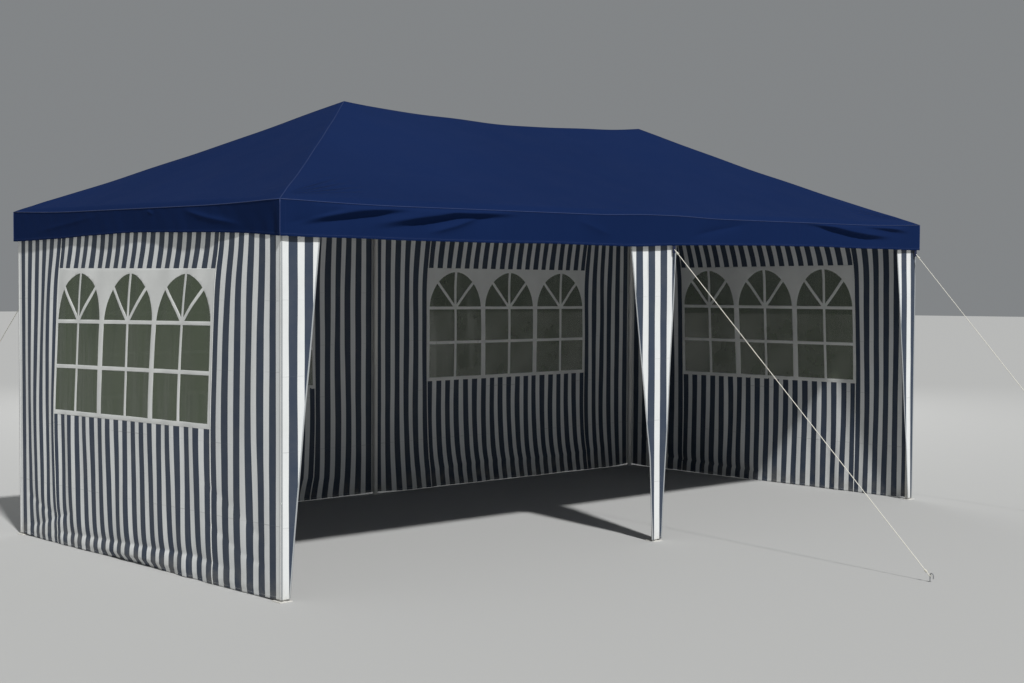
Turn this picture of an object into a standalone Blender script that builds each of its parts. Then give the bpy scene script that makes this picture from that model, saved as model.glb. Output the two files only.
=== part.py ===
"""Party marquee: a white tube frame under a navy hipped roof, with striped walls on three sides.

The frame stands on the ground plane, z = 0. The origin is at the middle of the footprint.
+X runs along the open front, +Y goes from the front to the back, and +Z is up.
All sizes are in metres.
"""
import math

import bmesh
import bpy
from mathutils import Matrix, Vector

# Footprint, measured between the middles of the legs
LENGTH = 6.0
WIDTH = 3.0

# Heights of the roof cloth
EAVE_HEIGHT = 2.195
PEAK_HEIGHT = 2.92
PEAK_X = 1.45

# How far the roof cloth sinks below flat slopes
HIP_SAG = 0.02
SLOPE_SAG = 0.024
RIDGE_SAG = 0.06
ROOF_CUTS = 5

# Tubes and the sockets that join them
LEG_RADIUS = 0.019
RAIL_RADIUS = 0.019
RAFTER_RADIUS = 0.016
SOCKET_RADIUS = 0.021
SOCKET_REACH = 0.11
KNUCKLE_PROUD = 0.0015
CROWN_DROP = 0.13
POST_RADIUS = 0.012
TIP_PROUD = 0.003
TUBE_SIDES = 16
SHARP_ANGLE = math.radians(40)

# Foot plates
PLATE_SIDE = 0.085
PLATE_THICKNESS = 0.004

# Cloth, thicker than the real sheet so that it makes a solid
CLOTH = 0.003
FILM = 0.002
SEAT = 0.0003

# Valance
VALANCE_DROP = 0.195
VALANCE_AIR = 0.018

# Walls and their windows
HEM_HEIGHT = 0.012
WINDOW_WIDTH = 1.85
WINDOW_SILL = 0.885
WINDOW_HEAD = 1.815

# Striped strips in front of the front legs
CORNER_STRIP_TOP = 0.26
CORNER_STRIP_KNEE = 0.11
CORNER_STRIP_FOOT = 0.06
MID_STRIP_TOP_LEFT = 0.25
MID_STRIP_TOP_RIGHT = 0.18
MID_STRIP_KNEE = 0.16
MID_STRIP_FOOT = 0.10
KNEE_HEIGHT = 0.56

# Guy ropes, their tabs under the valance and their pegs
ROPE_RADIUS = 0.0025
TAB_WIDTH = 0.025
TAB_LENGTH = 0.05
TIE_SHARE = 0.6
MID_GUY_X = 0.125
LOW_TIE_HEIGHT = 1.56
MID_GUY_REACH = 2.035
RIGHT_GUY_REACH = 1.82
LEFT_GUY_REACH = 1.94
PEG_RADIUS = 0.0035
PEG_HEIGHT = 0.05
PEG_HOOK = 0.011
PEG_HOOK_STEPS = 6
PEG_LIP = 0.02
LOOP_HEIGHT = 0.03

# Sizes that follow from the ones above
HALF_LENGTH = LENGTH / 2
HALF_WIDTH = WIDTH / 2
RISE = PEAK_HEIGHT - EAVE_HEIGHT
STEEPEST = max(RISE / HALF_WIDTH, RISE / (HALF_LENGTH - PEAK_X))
TILT = math.atan(STEEPEST)
CLOTH_UNDER_EAVE = EAVE_HEIGHT - CLOTH
KNUCKLE_RADIUS = SOCKET_RADIUS + KNUCKLE_PROUD
TIP_RADIUS = POST_RADIUS + TIP_PROUD
RAIL_Z = CLOTH_UNDER_EAVE - (KNUCKLE_RADIUS + SEAT) / math.cos(TILT)
CROWN_Z = PEAK_HEIGHT - CLOTH - CROWN_DROP
WALL_INNER = KNUCKLE_RADIUS + SEAT
WALL_OUTER = WALL_INNER + CLOTH
LAP = WALL_OUTER + VALANCE_AIR + CLOTH
VALANCE_TOP = CLOTH_UNDER_EAVE - STEEPEST * LAP - SEAT
VALANCE_HEM = VALANCE_TOP - VALANCE_DROP
WALL_TOP = CLOTH_UNDER_EAVE - STEEPEST * WALL_OUTER - SEAT
TIE_HEIGHT = VALANCE_HEM - TAB_LENGTH * TIE_SHARE
LEG_TOP = RAIL_Z - SOCKET_REACH - SEAT
RIGHT_GUY_X = HALF_LENGTH

X_AXIS = Vector((1, 0, 0))
Y_AXIS = Vector((0, 1, 0))
Z_AXIS = Vector((0, 0, 1))

# Name and place in plan of each leg
LEGS = {
    "front_left": (-HALF_LENGTH, -HALF_WIDTH),
    "front_mid": (0.0, -HALF_WIDTH),
    "front_right": (HALF_LENGTH, -HALF_WIDTH),
    "back_left": (-HALF_LENGTH, HALF_WIDTH),
    "back_mid": (0.0, HALF_WIDTH),
    "back_right": (HALF_LENGTH, HALF_WIDTH),
}
CROWNS = {"left": (-PEAK_X, 0.0), "right": (PEAK_X, 0.0)}

# Places along each long valance of the tabs that its guy ropes tie to
TABS = {"front": [MID_GUY_X, RIGHT_GUY_X], "back": [MID_GUY_X]}


def clear_scene():
    for old in list(bpy.data.objects):
        bpy.data.objects.remove(old, do_unlink=True)


def make_collection(name):
    collection = bpy.data.collections.new(name)
    bpy.context.scene.collection.children.link(collection)
    return collection


def make_material(name, colour, roughness, metallic=0.0, alpha=1.0):
    material = bpy.data.materials.new(name)
    material.use_nodes = True
    shader = material.node_tree.nodes["Principled BSDF"]
    shader.inputs["Base Color"].default_value = (*colour, 1.0)
    shader.inputs["Roughness"].default_value = roughness
    shader.inputs["Metallic"].default_value = metallic
    shader.inputs["Alpha"].default_value = alpha
    return material


clear_scene()
MARQUEE = make_collection("marquee_tent")
WHITE_STEEL = make_material("white_steel", (0.80, 0.80, 0.77), 0.35, metallic=0.1)
NAVY_CLOTH = make_material("navy_cloth", (0.013, 0.024, 0.105), 0.65)
STRIPED_CLOTH = make_material("striped_cloth", (0.42, 0.46, 0.50), 0.6)
WINDOW_FILM = make_material("window_film", (0.095, 0.12, 0.075), 0.2, alpha=0.8)
ROPE = make_material("rope", (0.75, 0.72, 0.60), 0.85)
PEG_STEEL = make_material("peg_steel", (0.45, 0.45, 0.46), 0.4, metallic=1.0)


def add_object(name, data, material):
    piece = bpy.data.objects.new(name, data)
    data.materials.append(material)
    MARQUEE.objects.link(piece)
    return piece


def mesh_from(bm, name):
    mesh = bpy.data.meshes.new(name)
    bm.to_mesh(mesh)
    bm.free()
    return mesh


def shade_round(mesh):
    mesh.shade_smooth()
    mesh.set_sharp_from_angle(angle=SHARP_ANGLE)


def rod_mesh(name, length, radius):
    """A round bar along Z, centred on its own origin."""
    bm = bmesh.new()
    bmesh.ops.create_cone(
        bm, cap_ends=True, segments=TUBE_SIDES, radius1=radius, radius2=radius, depth=length
    )
    mesh = mesh_from(bm, name)
    shade_round(mesh)
    return mesh


def rod(name, start, end, radius, material):
    """A round bar from one point to another."""
    run = end - start
    piece = add_object(name, rod_mesh(name, run.length, radius), material)
    piece.location = (start + end) / 2
    piece.rotation_mode = "QUATERNION"
    piece.rotation_quaternion = run.to_track_quat("Z", "Y")
    return piece


def tube_between(name, start, end, radius, cut_start, cut_end):
    """A pole between two joints, shortened where it enters each joint's socket."""
    along = (end - start).normalized()
    return rod(name, start + along * cut_start, end - along * cut_end, radius, WHITE_STEEL)


def fuse(name, pieces, material):
    """Join overlapping pieces into one solid with its place in its own origin."""
    body = pieces[0]
    for other in pieces[1:]:
        join = body.modifiers.new("join", "BOOLEAN")
        join.operation = "UNION"
        join.object = other
    bpy.context.view_layer.update()
    shaped = body.evaluated_get(bpy.context.evaluated_depsgraph_get())
    mesh = bpy.data.meshes.new_from_object(shaped)
    mesh.transform(body.matrix_world)
    for piece in pieces:
        bpy.data.objects.remove(piece, do_unlink=True)
    mesh.materials.clear()
    shade_round(mesh)
    return add_object(name, mesh, material)


def ball(name, centre, radius):
    bm = bmesh.new()
    bmesh.ops.create_uvsphere(bm, u_segments=TUBE_SIDES, v_segments=TUBE_SIDES // 2, radius=radius)
    piece = add_object(name, mesh_from(bm, name), WHITE_STEEL)
    piece.location = centre
    return piece


def leg_mesh():
    """A pole on its square foot plate, with the origin under the plate."""
    bm = bmesh.new()
    bmesh.ops.create_cube(bm, size=1.0)
    bmesh.ops.scale(bm, vec=(PLATE_SIDE, PLATE_SIDE, PLATE_THICKNESS), verts=bm.verts)
    plate = add_object("plate", mesh_from(bm, "plate"), WHITE_STEEL)
    plate.location.z = PLATE_THICKNESS / 2
    foot = Z_AXIS * (PLATE_THICKNESS / 2)
    pole = rod("pole", foot, Z_AXIS * LEG_TOP, LEG_RADIUS, WHITE_STEEL)
    whole = fuse("leg", [plate, pole], WHITE_STEEL)
    mesh = whole.data
    bpy.data.objects.remove(whole, do_unlink=True)
    mesh.materials.clear()
    mesh.materials.append(WHITE_STEEL)
    return mesh


def build_legs():
    mesh = leg_mesh()
    for place, (x, y) in LEGS.items():
        leg = bpy.data.objects.new("leg_" + place, mesh)
        leg.location = (x, y, 0.0)
        MARQUEE.objects.link(leg)


def joint_at(place):
    x, y = LEGS[place]
    return Vector((x, y, RAIL_Z))


def crown_at(side):
    x, y = CROWNS[side]
    return Vector((x, y, CROWN_Z))


def rafter_runs():
    """Each rafter's name, its lower joint and its crown."""
    for place, (x, y) in LEGS.items():
        row = place.split("_")[0]
        sides = [place.split("_")[1]] if x else list(CROWNS)
        for side in sides:
            name = f"rafter_{place}" if x else f"rafter_{row}_mid_{side}"
            yield name, place, side


def hub(name, centre, directions):
    """Sockets that run from one centre, joined into one solid."""
    sockets = [ball("knuckle", centre, KNUCKLE_RADIUS)]
    for along in directions:
        end = centre + along * SOCKET_REACH
        sockets.append(rod("socket", centre, end, SOCKET_RADIUS, WHITE_STEEL))
    return fuse(name, sockets, WHITE_STEEL)


def build_joints():
    """The sockets at the eaves: one on each leg."""
    for place, (x, y) in LEGS.items():
        centre = joint_at(place)
        directions = [-Z_AXIS]
        if x:
            directions.append(X_AXIS * -math.copysign(1, x))
            directions.append(Y_AXIS * -math.copysign(1, y))
        else:
            directions += [X_AXIS, -X_AXIS]
        for _, foot, side in rafter_runs():
            if foot == place:
                directions.append((crown_at(side) - centre).normalized())
        hub("joint_" + place, centre, directions)


def build_crowns():
    """Each peak's hub: four rafter sockets and a post with a round tip under the cloth."""
    steepest_at_peak = STEEPEST + 4 * SLOPE_SAG / HALF_WIDTH
    tip_drop = (TIP_RADIUS + SEAT) / math.cos(math.atan(steepest_at_peak))
    for side in CROWNS:
        centre = crown_at(side)
        tip = Vector((centre.x, centre.y, PEAK_HEIGHT - CLOTH - tip_drop))
        parts = [ball("knuckle", centre, KNUCKLE_RADIUS)]
        for _, foot, peak in rafter_runs():
            if peak == side:
                along = (joint_at(foot) - centre).normalized()
                end = centre + along * SOCKET_REACH
                parts.append(rod("socket", centre, end, SOCKET_RADIUS, WHITE_STEEL))
        parts.append(rod("post", centre, tip, POST_RADIUS, WHITE_STEEL))
        parts.append(ball("tip", tip, TIP_RADIUS))
        fuse("crown_" + side, parts, WHITE_STEEL)


def build_rails():
    cut = SOCKET_REACH + SEAT
    runs = {
        "rail_front_left": ("front_left", "front_mid"),
        "rail_front_right": ("front_mid", "front_right"),
        "rail_back_left": ("back_left", "back_mid"),
        "rail_back_right": ("back_mid", "back_right"),
        "rail_left": ("front_left", "back_left"),
        "rail_right": ("front_right", "back_right"),
    }
    for name, (start, end) in runs.items():
        tube_between(name, joint_at(start), joint_at(end), RAIL_RADIUS, cut, cut)


def build_rafters():
    cut = SOCKET_REACH + SEAT
    for name, foot, side in rafter_runs():
        tube_between(name, joint_at(foot), crown_at(side), RAFTER_RADIUS, cut, cut)


def roof_height(x, y):
    """Top of the roof cloth over a point in plan, inside the rails."""
    up_front = (HALF_WIDTH - abs(y)) / HALF_WIDTH
    up_side = (HALF_LENGTH - abs(x)) / (HALF_LENGTH - PEAK_X)
    climb = min(up_front, up_side)
    belly = 4 * climb * (1 - climb)
    off_hip = 1 - climb / max(up_front, up_side, 0.001)
    sag = belly * (HIP_SAG + (SLOPE_SAG - HIP_SAG) * off_hip)
    if abs(x) < PEAK_X:
        sag += RIDGE_SAG * (1 - (x / PEAK_X) ** 2) * climb ** 2
    return EAVE_HEIGHT + RISE * climb - sag


def roof_cage(bm):
    """Eight flat slopes between the six eave joints and the two peaks."""
    eaves = {place: bm.verts.new((x, y, 0)) for place, (x, y) in LEGS.items()}
    peaks = {side: bm.verts.new((x, y, 0)) for side, (x, y) in CROWNS.items()}
    for side, peak in peaks.items():
        bm.faces.new((eaves["front_" + side], eaves["back_" + side], peak))
        for row in ("front", "back"):
            bm.faces.new((eaves[f"{row}_{side}"], eaves[row + "_mid"], peak))
    for row in ("front", "back"):
        bm.faces.new((eaves[row + "_mid"], peaks["right"], peaks["left"]))


def build_roof():
    """One sheet over the whole frame, lapping past the rails down to the eaves."""
    bm = bmesh.new()
    roof_cage(bm)
    bmesh.ops.subdivide_edges(bm, edges=bm.edges[:], cuts=ROOF_CUTS, use_grid_fill=True)
    for vert in bm.verts:
        vert.co.z = roof_height(vert.co.x, vert.co.y)
    rim = [edge for edge in bm.edges if edge.is_boundary]
    lapped = bmesh.ops.extrude_edge_only(bm, edges=rim)["geom"]
    for vert in lapped:
        if not isinstance(vert, bmesh.types.BMVert):
            continue
        if abs(vert.co.x) > HALF_LENGTH - SEAT:
            vert.co.x += math.copysign(LAP, vert.co.x)
        if abs(vert.co.y) > HALF_WIDTH - SEAT:
            vert.co.y += math.copysign(LAP, vert.co.y)
        vert.co.z -= STEEPEST * LAP
    under = bmesh.ops.extrude_face_region(bm, geom=bm.faces[:], use_keep_orig=True)["geom"]
    lower = [item for item in under if isinstance(item, bmesh.types.BMVert)]
    bmesh.ops.translate(bm, vec=(0, 0, -CLOTH), verts=lower)
    bmesh.ops.recalc_face_normals(bm, faces=bm.faces[:])
    add_object("roof_canopy", mesh_from(bm, "roof_canopy"), NAVY_CLOTH)


def flat_sheet(name, outlines, along, centre, thickness, material):
    """A flat piece standing upright: outlines are in metres along it and up from the ground."""
    curve = bpy.data.curves.new(name, "CURVE")
    curve.dimensions = "2D"
    curve.fill_mode = "BOTH"
    curve.extrude = thickness / 2
    for outline in outlines:
        spline = curve.splines.new("POLY")
        spline.points.add(len(outline) - 1)
        for point, (across, up) in zip(spline.points, outline):
            point.co = (across, up, 0.0, 1.0)
        spline.use_cyclic_u = True
    piece = add_object(name, curve, material)
    facing = along.cross(Z_AXIS)
    turn = Matrix((along, Z_AXIS, facing)).transposed()
    piece.matrix_world = Matrix.Translation(centre) @ turn.to_4x4()
    return piece


def rectangle(left, right, low, high):
    return [(left, low), (right, low), (right, high), (left, high)]


def build_wall(name, window_name, along, centre, left, right, middle):
    """A wall sheet with its window opening, and the clear film that closes the opening."""
    half = WINDOW_WIDTH / 2
    opening = rectangle(middle - half, middle + half, WINDOW_SILL, WINDOW_HEAD)
    sheet = rectangle(left, right, HEM_HEIGHT, WALL_TOP)
    flat_sheet(name, [sheet, opening], along, centre, CLOTH, STRIPED_CLOTH)
    pane = rectangle(
        middle - half + SEAT, middle + half - SEAT, WINDOW_SILL + SEAT, WINDOW_HEAD - SEAT
    )
    flat_sheet(window_name, [pane], along, centre, FILM, WINDOW_FILM)


def build_walls():
    depth = WALL_INNER + CLOTH / 2
    end = HALF_WIDTH + WALL_INNER - SEAT
    for side, sign in (("left", -1), ("right", 1)):
        centre = X_AXIS * sign * (HALF_LENGTH + depth)
        build_wall("wall_" + side, "window_" + side, Y_AXIS, centre, -end, end, 0.0)
    centre = Y_AXIS * (HALF_WIDTH + depth)
    corner = HALF_LENGTH + WALL_OUTER
    middle = HALF_LENGTH / 2
    build_wall(
        "wall_back_left", "window_back_left", X_AXIS, centre, -corner, -SEAT / 2, -middle
    )
    build_wall(
        "wall_back_right", "window_back_right", X_AXIS, centre, SEAT / 2, corner, middle
    )


def build_strips():
    """Gathered striped strips that hang in front of the three front legs."""
    centre = Y_AXIS * -(HALF_WIDTH + WALL_INNER + CLOTH / 2)
    low, knee, high = HEM_HEIGHT, KNEE_HEIGHT, WALL_TOP
    outer = HALF_LENGTH + WALL_OUTER
    for side, sign in (("left", -1), ("right", 1)):
        outline = [
            (sign * outer, low),
            (sign * (outer - CORNER_STRIP_FOOT), low),
            (sign * (outer - CORNER_STRIP_KNEE), knee),
            (sign * (outer - CORNER_STRIP_TOP), VALANCE_HEM),
            (sign * (outer - CORNER_STRIP_TOP), high),
            (sign * outer, high),
        ]
        flat_sheet("strip_" + side, [outline], X_AXIS, centre, CLOTH, STRIPED_CLOTH)
    outline = [
        (-MID_STRIP_FOOT / 2, low),
        (MID_STRIP_FOOT / 2, low),
        (MID_STRIP_KNEE / 2, knee),
        (MID_STRIP_TOP_RIGHT, VALANCE_HEM),
        (MID_STRIP_TOP_RIGHT, high),
        (-MID_STRIP_TOP_LEFT, high),
        (-MID_STRIP_TOP_LEFT, VALANCE_HEM),
        (-MID_STRIP_KNEE / 2, knee),
    ]
    flat_sheet("strip_mid", [outline], X_AXIS, centre, CLOTH, STRIPED_CLOTH)


def valance_outline(half, tabs):
    """A band with a short webbing tab under its hem at each guy rope."""
    hem = [(-half, VALANCE_HEM)]
    for tab in sorted(tabs):
        left, right = tab - TAB_WIDTH / 2, tab + TAB_WIDTH / 2
        tip = VALANCE_HEM - TAB_LENGTH
        hem += [(left, VALANCE_HEM), (left, tip), (right, tip), (right, VALANCE_HEM)]
    return hem + [(half, VALANCE_HEM), (half, VALANCE_TOP), (-half, VALANCE_TOP)]


def build_valances():
    for row, sign in (("front", -1), ("back", 1)):
        centre = Y_AXIS * sign * (HALF_WIDTH + LAP - CLOTH / 2)
        outline = valance_outline(HALF_LENGTH + LAP, TABS[row])
        flat_sheet("valance_" + row, [outline], X_AXIS, centre, CLOTH, NAVY_CLOTH)
    for side, sign in (("left", -1), ("right", 1)):
        centre = X_AXIS * sign * (HALF_LENGTH + LAP - CLOTH / 2)
        outline = valance_outline(HALF_WIDTH + LAP - CLOTH - SEAT, [])
        flat_sheet("valance_" + side, [outline], Y_AXIS, centre, CLOTH, NAVY_CLOTH)


def peg_path():
    """A rod that stands out of the ground and hooks over, in its own plane."""
    neck = PEG_HEIGHT - PEG_HOOK
    path = [(0.0, 0.0), (0.0, neck)]
    for step in range(1, PEG_HOOK_STEPS + 1):
        turn = math.pi * step / PEG_HOOK_STEPS
        path.append((PEG_HOOK * (1 - math.cos(turn)), neck + PEG_HOOK * math.sin(turn)))
    path.append((2 * PEG_HOOK, neck - PEG_LIP))
    return path


def build_peg(name, x, y, outward):
    curve = bpy.data.curves.new(name, "CURVE")
    curve.dimensions = "3D"
    curve.bevel_depth = PEG_RADIUS
    curve.bevel_resolution = 2
    curve.use_fill_caps = True
    path = peg_path()
    spline = curve.splines.new("POLY")
    spline.points.add(len(path) - 1)
    for point, (out, up) in zip(spline.points, path):
        point.co = (0.0, outward * out, up, 1.0)
    piece = add_object(name, curve, PEG_STEEL)
    piece.location = (x, y, 0.0)


def build_guy(place, x, tie_depth, tie_height, outward, reach):
    """A taut rope from its tie down to a peg."""
    y_peg = outward * (HALF_WIDTH + reach)
    tie = Vector((x, outward * tie_depth, tie_height))
    foot = Vector((x, y_peg, LOOP_HEIGHT))
    along = (foot - tie).normalized()
    lean_tie = ROPE_RADIUS * abs(along.z) + SEAT
    lean_peg = PEG_RADIUS + ROPE_RADIUS * abs(along.z) + SEAT
    start = tie + along * (lean_tie / abs(along.y))
    end = foot - along * (lean_peg / abs(along.y))
    rod("rope_" + place, start, end, ROPE_RADIUS, ROPE)
    build_peg("peg_" + place, x, y_peg, outward)


def build_guys():
    hem_face = HALF_WIDTH + LAP
    wall_face = HALF_WIDTH + WALL_OUTER
    build_guy("front_mid", MID_GUY_X, hem_face, TIE_HEIGHT, -1, MID_GUY_REACH)
    build_guy("front_right", RIGHT_GUY_X, hem_face, TIE_HEIGHT, -1, RIGHT_GUY_REACH)
    build_guy("back_mid", MID_GUY_X, hem_face, TIE_HEIGHT, 1, MID_GUY_REACH)
    build_guy("back_left", -HALF_LENGTH, wall_face, LOW_TIE_HEIGHT, 1, LEFT_GUY_REACH)


build_legs()
build_joints()
build_crowns()
build_rails()
build_rafters()
build_roof()
build_walls()
build_strips()
build_valances()
build_guys()
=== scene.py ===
"""Party marquee: cloth, windows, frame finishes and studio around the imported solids.

Sizes are in metres. +X runs along the open front, +Y from the front to the back, +Z up.
"""
import math

import bmesh
import bpy
import numpy as np
from mathutils import Matrix, Vector


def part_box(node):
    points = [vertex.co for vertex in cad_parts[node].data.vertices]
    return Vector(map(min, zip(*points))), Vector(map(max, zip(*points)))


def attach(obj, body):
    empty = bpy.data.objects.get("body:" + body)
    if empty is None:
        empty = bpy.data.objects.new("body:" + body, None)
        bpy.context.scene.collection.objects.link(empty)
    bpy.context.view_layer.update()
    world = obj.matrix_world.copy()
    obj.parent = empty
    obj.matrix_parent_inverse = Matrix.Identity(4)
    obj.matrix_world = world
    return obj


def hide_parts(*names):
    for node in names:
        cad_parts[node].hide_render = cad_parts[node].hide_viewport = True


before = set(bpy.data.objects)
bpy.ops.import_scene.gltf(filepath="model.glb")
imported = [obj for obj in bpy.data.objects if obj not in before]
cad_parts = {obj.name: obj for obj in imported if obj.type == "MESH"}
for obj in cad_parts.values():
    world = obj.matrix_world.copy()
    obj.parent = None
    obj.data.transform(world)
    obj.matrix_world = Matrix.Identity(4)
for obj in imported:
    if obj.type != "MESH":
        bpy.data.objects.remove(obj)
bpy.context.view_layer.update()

UP = Vector((0, 0, 1))

# Half the thickness of the cloth's solids. The cloth as it shows lies in their middle
HALF_SOLID = 0.0015


def middle(node):
    low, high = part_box(node)
    return (low + high) / 2


# Frame sizes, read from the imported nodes
HALF_LENGTH = middle("leg_front_right").x
HALF_WIDTH = middle("leg_back_right").y
RAIL_Z = middle("rail_left").z
RAIL_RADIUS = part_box("rail_left")[1].z - RAIL_Z
LEG_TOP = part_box("leg_front_left")[1].z
PLATE_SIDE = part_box("leg_front_left")[1].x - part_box("leg_front_left")[0].x
ROOF_EDGE_X, ROOF_EDGE_Y, PEAK_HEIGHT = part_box("roof_canopy")[1]
LAP = ROOF_EDGE_X - HALF_LENGTH
WALL_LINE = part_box("wall_right")[0].x + HALF_SOLID - HALF_LENGTH
CORNER = HALF_LENGTH + WALL_LINE + HALF_SOLID
HEM_HEIGHT, WALL_TOP = (corner.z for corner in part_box("wall_left"))
VALANCE_HEM, VALANCE_TOP = (corner.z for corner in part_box("valance_left"))
WINDOW_SILL, WINDOW_HEAD = (corner.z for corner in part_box("window_left"))
WINDOW_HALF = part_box("window_left")[1].y

# Frame sizes that the boxes don't give
EAVE_HEIGHT = 2.195
PEAK_X = 1.45
HIP_SAG = 0.02
SLOPE_SAG = 0.024
RIDGE_SAG = 0.06
LEG_RADIUS = 0.019
RAFTER_RADIUS = 0.016
SOCKET_RADIUS = 0.021
SOCKET_REACH = 0.11
KNUCKLE_RADIUS = 0.0225
POST_RADIUS = 0.012
TIP_RADIUS = 0.015
CROWN_DROP = 0.13
PLATE_THICKNESS = 0.004
KNEE_HEIGHT = 0.56
MID_GUY_X = 0.125
TAB_WIDTH = 0.025
TAB_LENGTH = 0.05
ROPE_RADIUS = 0.0025
PEG_RADIUS = 0.0035
SIDE_WALL_OVERHANG = 0.0225
RISE = PEAK_HEIGHT - EAVE_HEIGHT
STEEPEST = max(RISE / HALF_WIDTH, RISE / (HALF_LENGTH - PEAK_X))
CROWN_Z = PEAK_HEIGHT - 2 * HALF_SOLID - CROWN_DROP

# Cloth as it shows: thinner than its solid, and doubled at the hems
CLOTH = 0.0012
HEM_CLOTH = 0.003
HEM_WIDTH = 0.016
STITCH_INSET = 0.003

# A narrow row of faces above each hem. What lies lower than HEM_MARK above the hem belongs to it
HEM_MARK = 0.0007
WALL_SEAM = 0.002
VALANCE_SEAM = 0.0015

# Film and trims
TAPE_PROUD = 0.0008
BINDING_CLOTH = 0.0034
SEAM_CLOTH = 0.0012
FILM = 0.0005
TRIM = 0.0028

# Stripes, and the bars, arches and border of a window with three lights
STRIPE = 0.05
BAR = 0.024
MULLION = 0.050
BORDER = 0.023
LIGHT_HALF = (2 * WINDOW_HALF - 2 * BORDER - 2 * MULLION) / 6
SPRING_HEIGHT = 1.484
TRANSOM_HEIGHT = 1.195
ARCH_RISE = 0.306
ARCH_POWER = 1.9
FAN_ANGLE = math.radians(48)

# Fine patterns: the strands of the rope and the ribs of the webbing
BRAID_PITCH = 0.0052
BRAIDS_ROUND = 3
RIB_PITCH = 0.0022

LEGS = {
    "front_left": (-HALF_LENGTH, -HALF_WIDTH),
    "front_mid": (0.0, -HALF_WIDTH),
    "front_right": (HALF_LENGTH, -HALF_WIDTH),
    "back_left": (-HALF_LENGTH, HALF_WIDTH),
    "back_mid": (0.0, HALF_WIDTH),
    "back_right": (HALF_LENGTH, HALF_WIDTH),
}
CROWNS = {"left": (-PEAK_X, 0.0), "right": (PEAK_X, 0.0)}
GUYS = ("front_mid", "front_right", "back_mid", "back_left")

# Camera of the photograph: its place, its turns and its lens
EYE = Vector((-8.0189, -8.6754, 1.7897))
YAW = 0.7519
PITCH = -0.0433
ROLL = 0.0052
SENSOR = 36.0
LENS = 56.76

# Light: a sun from the front left, a soft fill behind and an even sky
TO_SUN = Vector((-0.205, -0.61, 0.766))
SUN_DISTANCE = 12.0
SUN_STRENGTH = 3.5
SUN_ANGLE = math.radians(3)
TO_FILL = Vector((0.75, 0.9, 0.45))
FILL_DISTANCE = 13.0
FILL_POWER = 420.0
FILL_SIZE = 7.0
WORLD_STRENGTH = 0.24
WORLD_COLOUR = (0.93, 0.97, 1.0, 1.0)
FLOOR_COLOUR = (0.45, 0.45, 0.44, 1.0)
FLOOR_RADIUS = 60.0
FLOOR_DROP = 0.0005


def put_object(name, data):
    made = bpy.data.objects.new(name, data)
    bpy.context.scene.collection.objects.link(made)
    return made


# Studio
def set_camera():
    ahead = Vector((math.sin(YAW) * math.cos(PITCH), math.cos(YAW) * math.cos(PITCH), math.sin(PITCH)))
    right = ahead.cross(UP).normalized()
    over = right.cross(ahead)
    side = right * math.cos(ROLL) + over * math.sin(ROLL)
    top = over * math.cos(ROLL) - right * math.sin(ROLL)
    data = bpy.data.cameras.new("camera")
    data.sensor_width = SENSOR
    data.lens = LENS
    camera = put_object("camera", data)
    turn = Matrix((side, top, -ahead)).transposed().to_4x4()
    camera.matrix_world = Matrix.Translation(EYE) @ turn
    bpy.context.scene.camera = camera


def add_light(name, kind, energy, to_light, distance):
    data = bpy.data.lights.new(name, kind)
    data.energy = energy
    light = put_object(name, data)
    light.location = to_light.normalized() * distance
    light.rotation_mode = "QUATERNION"
    light.rotation_quaternion = to_light.to_track_quat("Z", "Y")
    return light


def set_lights():
    sun = add_light("key", "SUN", SUN_STRENGTH, TO_SUN, SUN_DISTANCE)
    sun.data.angle = SUN_ANGLE
    fill = add_light("back_fill", "AREA", FILL_POWER, TO_FILL, FILL_DISTANCE)
    fill.data.shape = "DISK"
    fill.data.size = FILL_SIZE
    fill.visible_glossy = False
    world = bpy.data.worlds.new("studio")
    world.use_nodes = True
    background = world.node_tree.nodes["Background"]
    background.inputs["Color"].default_value = WORLD_COLOUR
    background.inputs["Strength"].default_value = WORLD_STRENGTH
    bpy.context.scene.world = world
    bpy.context.scene.view_settings.view_transform = "Standard"


def add_floor():
    bm = bmesh.new()
    bmesh.ops.create_circle(bm, cap_ends=True, segments=96, radius=FLOOR_RADIUS)
    floor = put_object("floor", mesh_from(bm, "floor"))
    material, _, shader = start_material("pale_floor", 0.9, specular=0.2)
    shader["Base Color"].default_value = FLOOR_COLOUR
    floor.data.materials.append(material)
    floor.location.z = -FLOOR_DROP


# Shader building
def feed(tree, socket, value):
    """Link a socket to another, or set its plain value."""
    if isinstance(value, bpy.types.NodeSocket):
        tree.links.new(value, socket)
    else:
        socket.default_value = value


def add_node(tree, kind, inputs=None, **settings):
    """Add a shader node, choose its settings, and feed its inputs by name or number."""
    made = tree.nodes.new("ShaderNode" + kind)
    for key, value in settings.items():
        setattr(made, key, value)
    for key, value in (inputs or {}).items():
        feed(tree, made.inputs[key], value)
    return made


def maths(tree, operation, *values):
    return add_node(tree, "Math", dict(enumerate(values)), operation=operation).outputs[0]


def times(tree, first, second):
    return maths(tree, "MULTIPLY", first, second)


def spread(tree, value, low, high, start=0.0, end=1.0):
    """Map low to start and high to end, held beyond both."""
    ends = {"Value": value, "From Min": low, "From Max": high, "To Min": start, "To Max": end}
    return add_node(tree, "MapRange", ends).outputs[0]


def cloud(tree, vector, scale, detail=2.0, roughness=0.5):
    """Soft noise between 0 and 1."""
    values = {"Vector": vector, "Scale": scale, "Detail": detail, "Roughness": roughness}
    return add_node(tree, "TexNoise", values).outputs[0]


def axes(tree, vector):
    """The three parts of a vector."""
    return add_node(tree, "SeparateXYZ", {0: vector}).outputs


def stretched(tree, vector, scale):
    return add_node(tree, "VectorMath", {0: vector, 1: scale}, operation="MULTIPLY").outputs[0]


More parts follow.
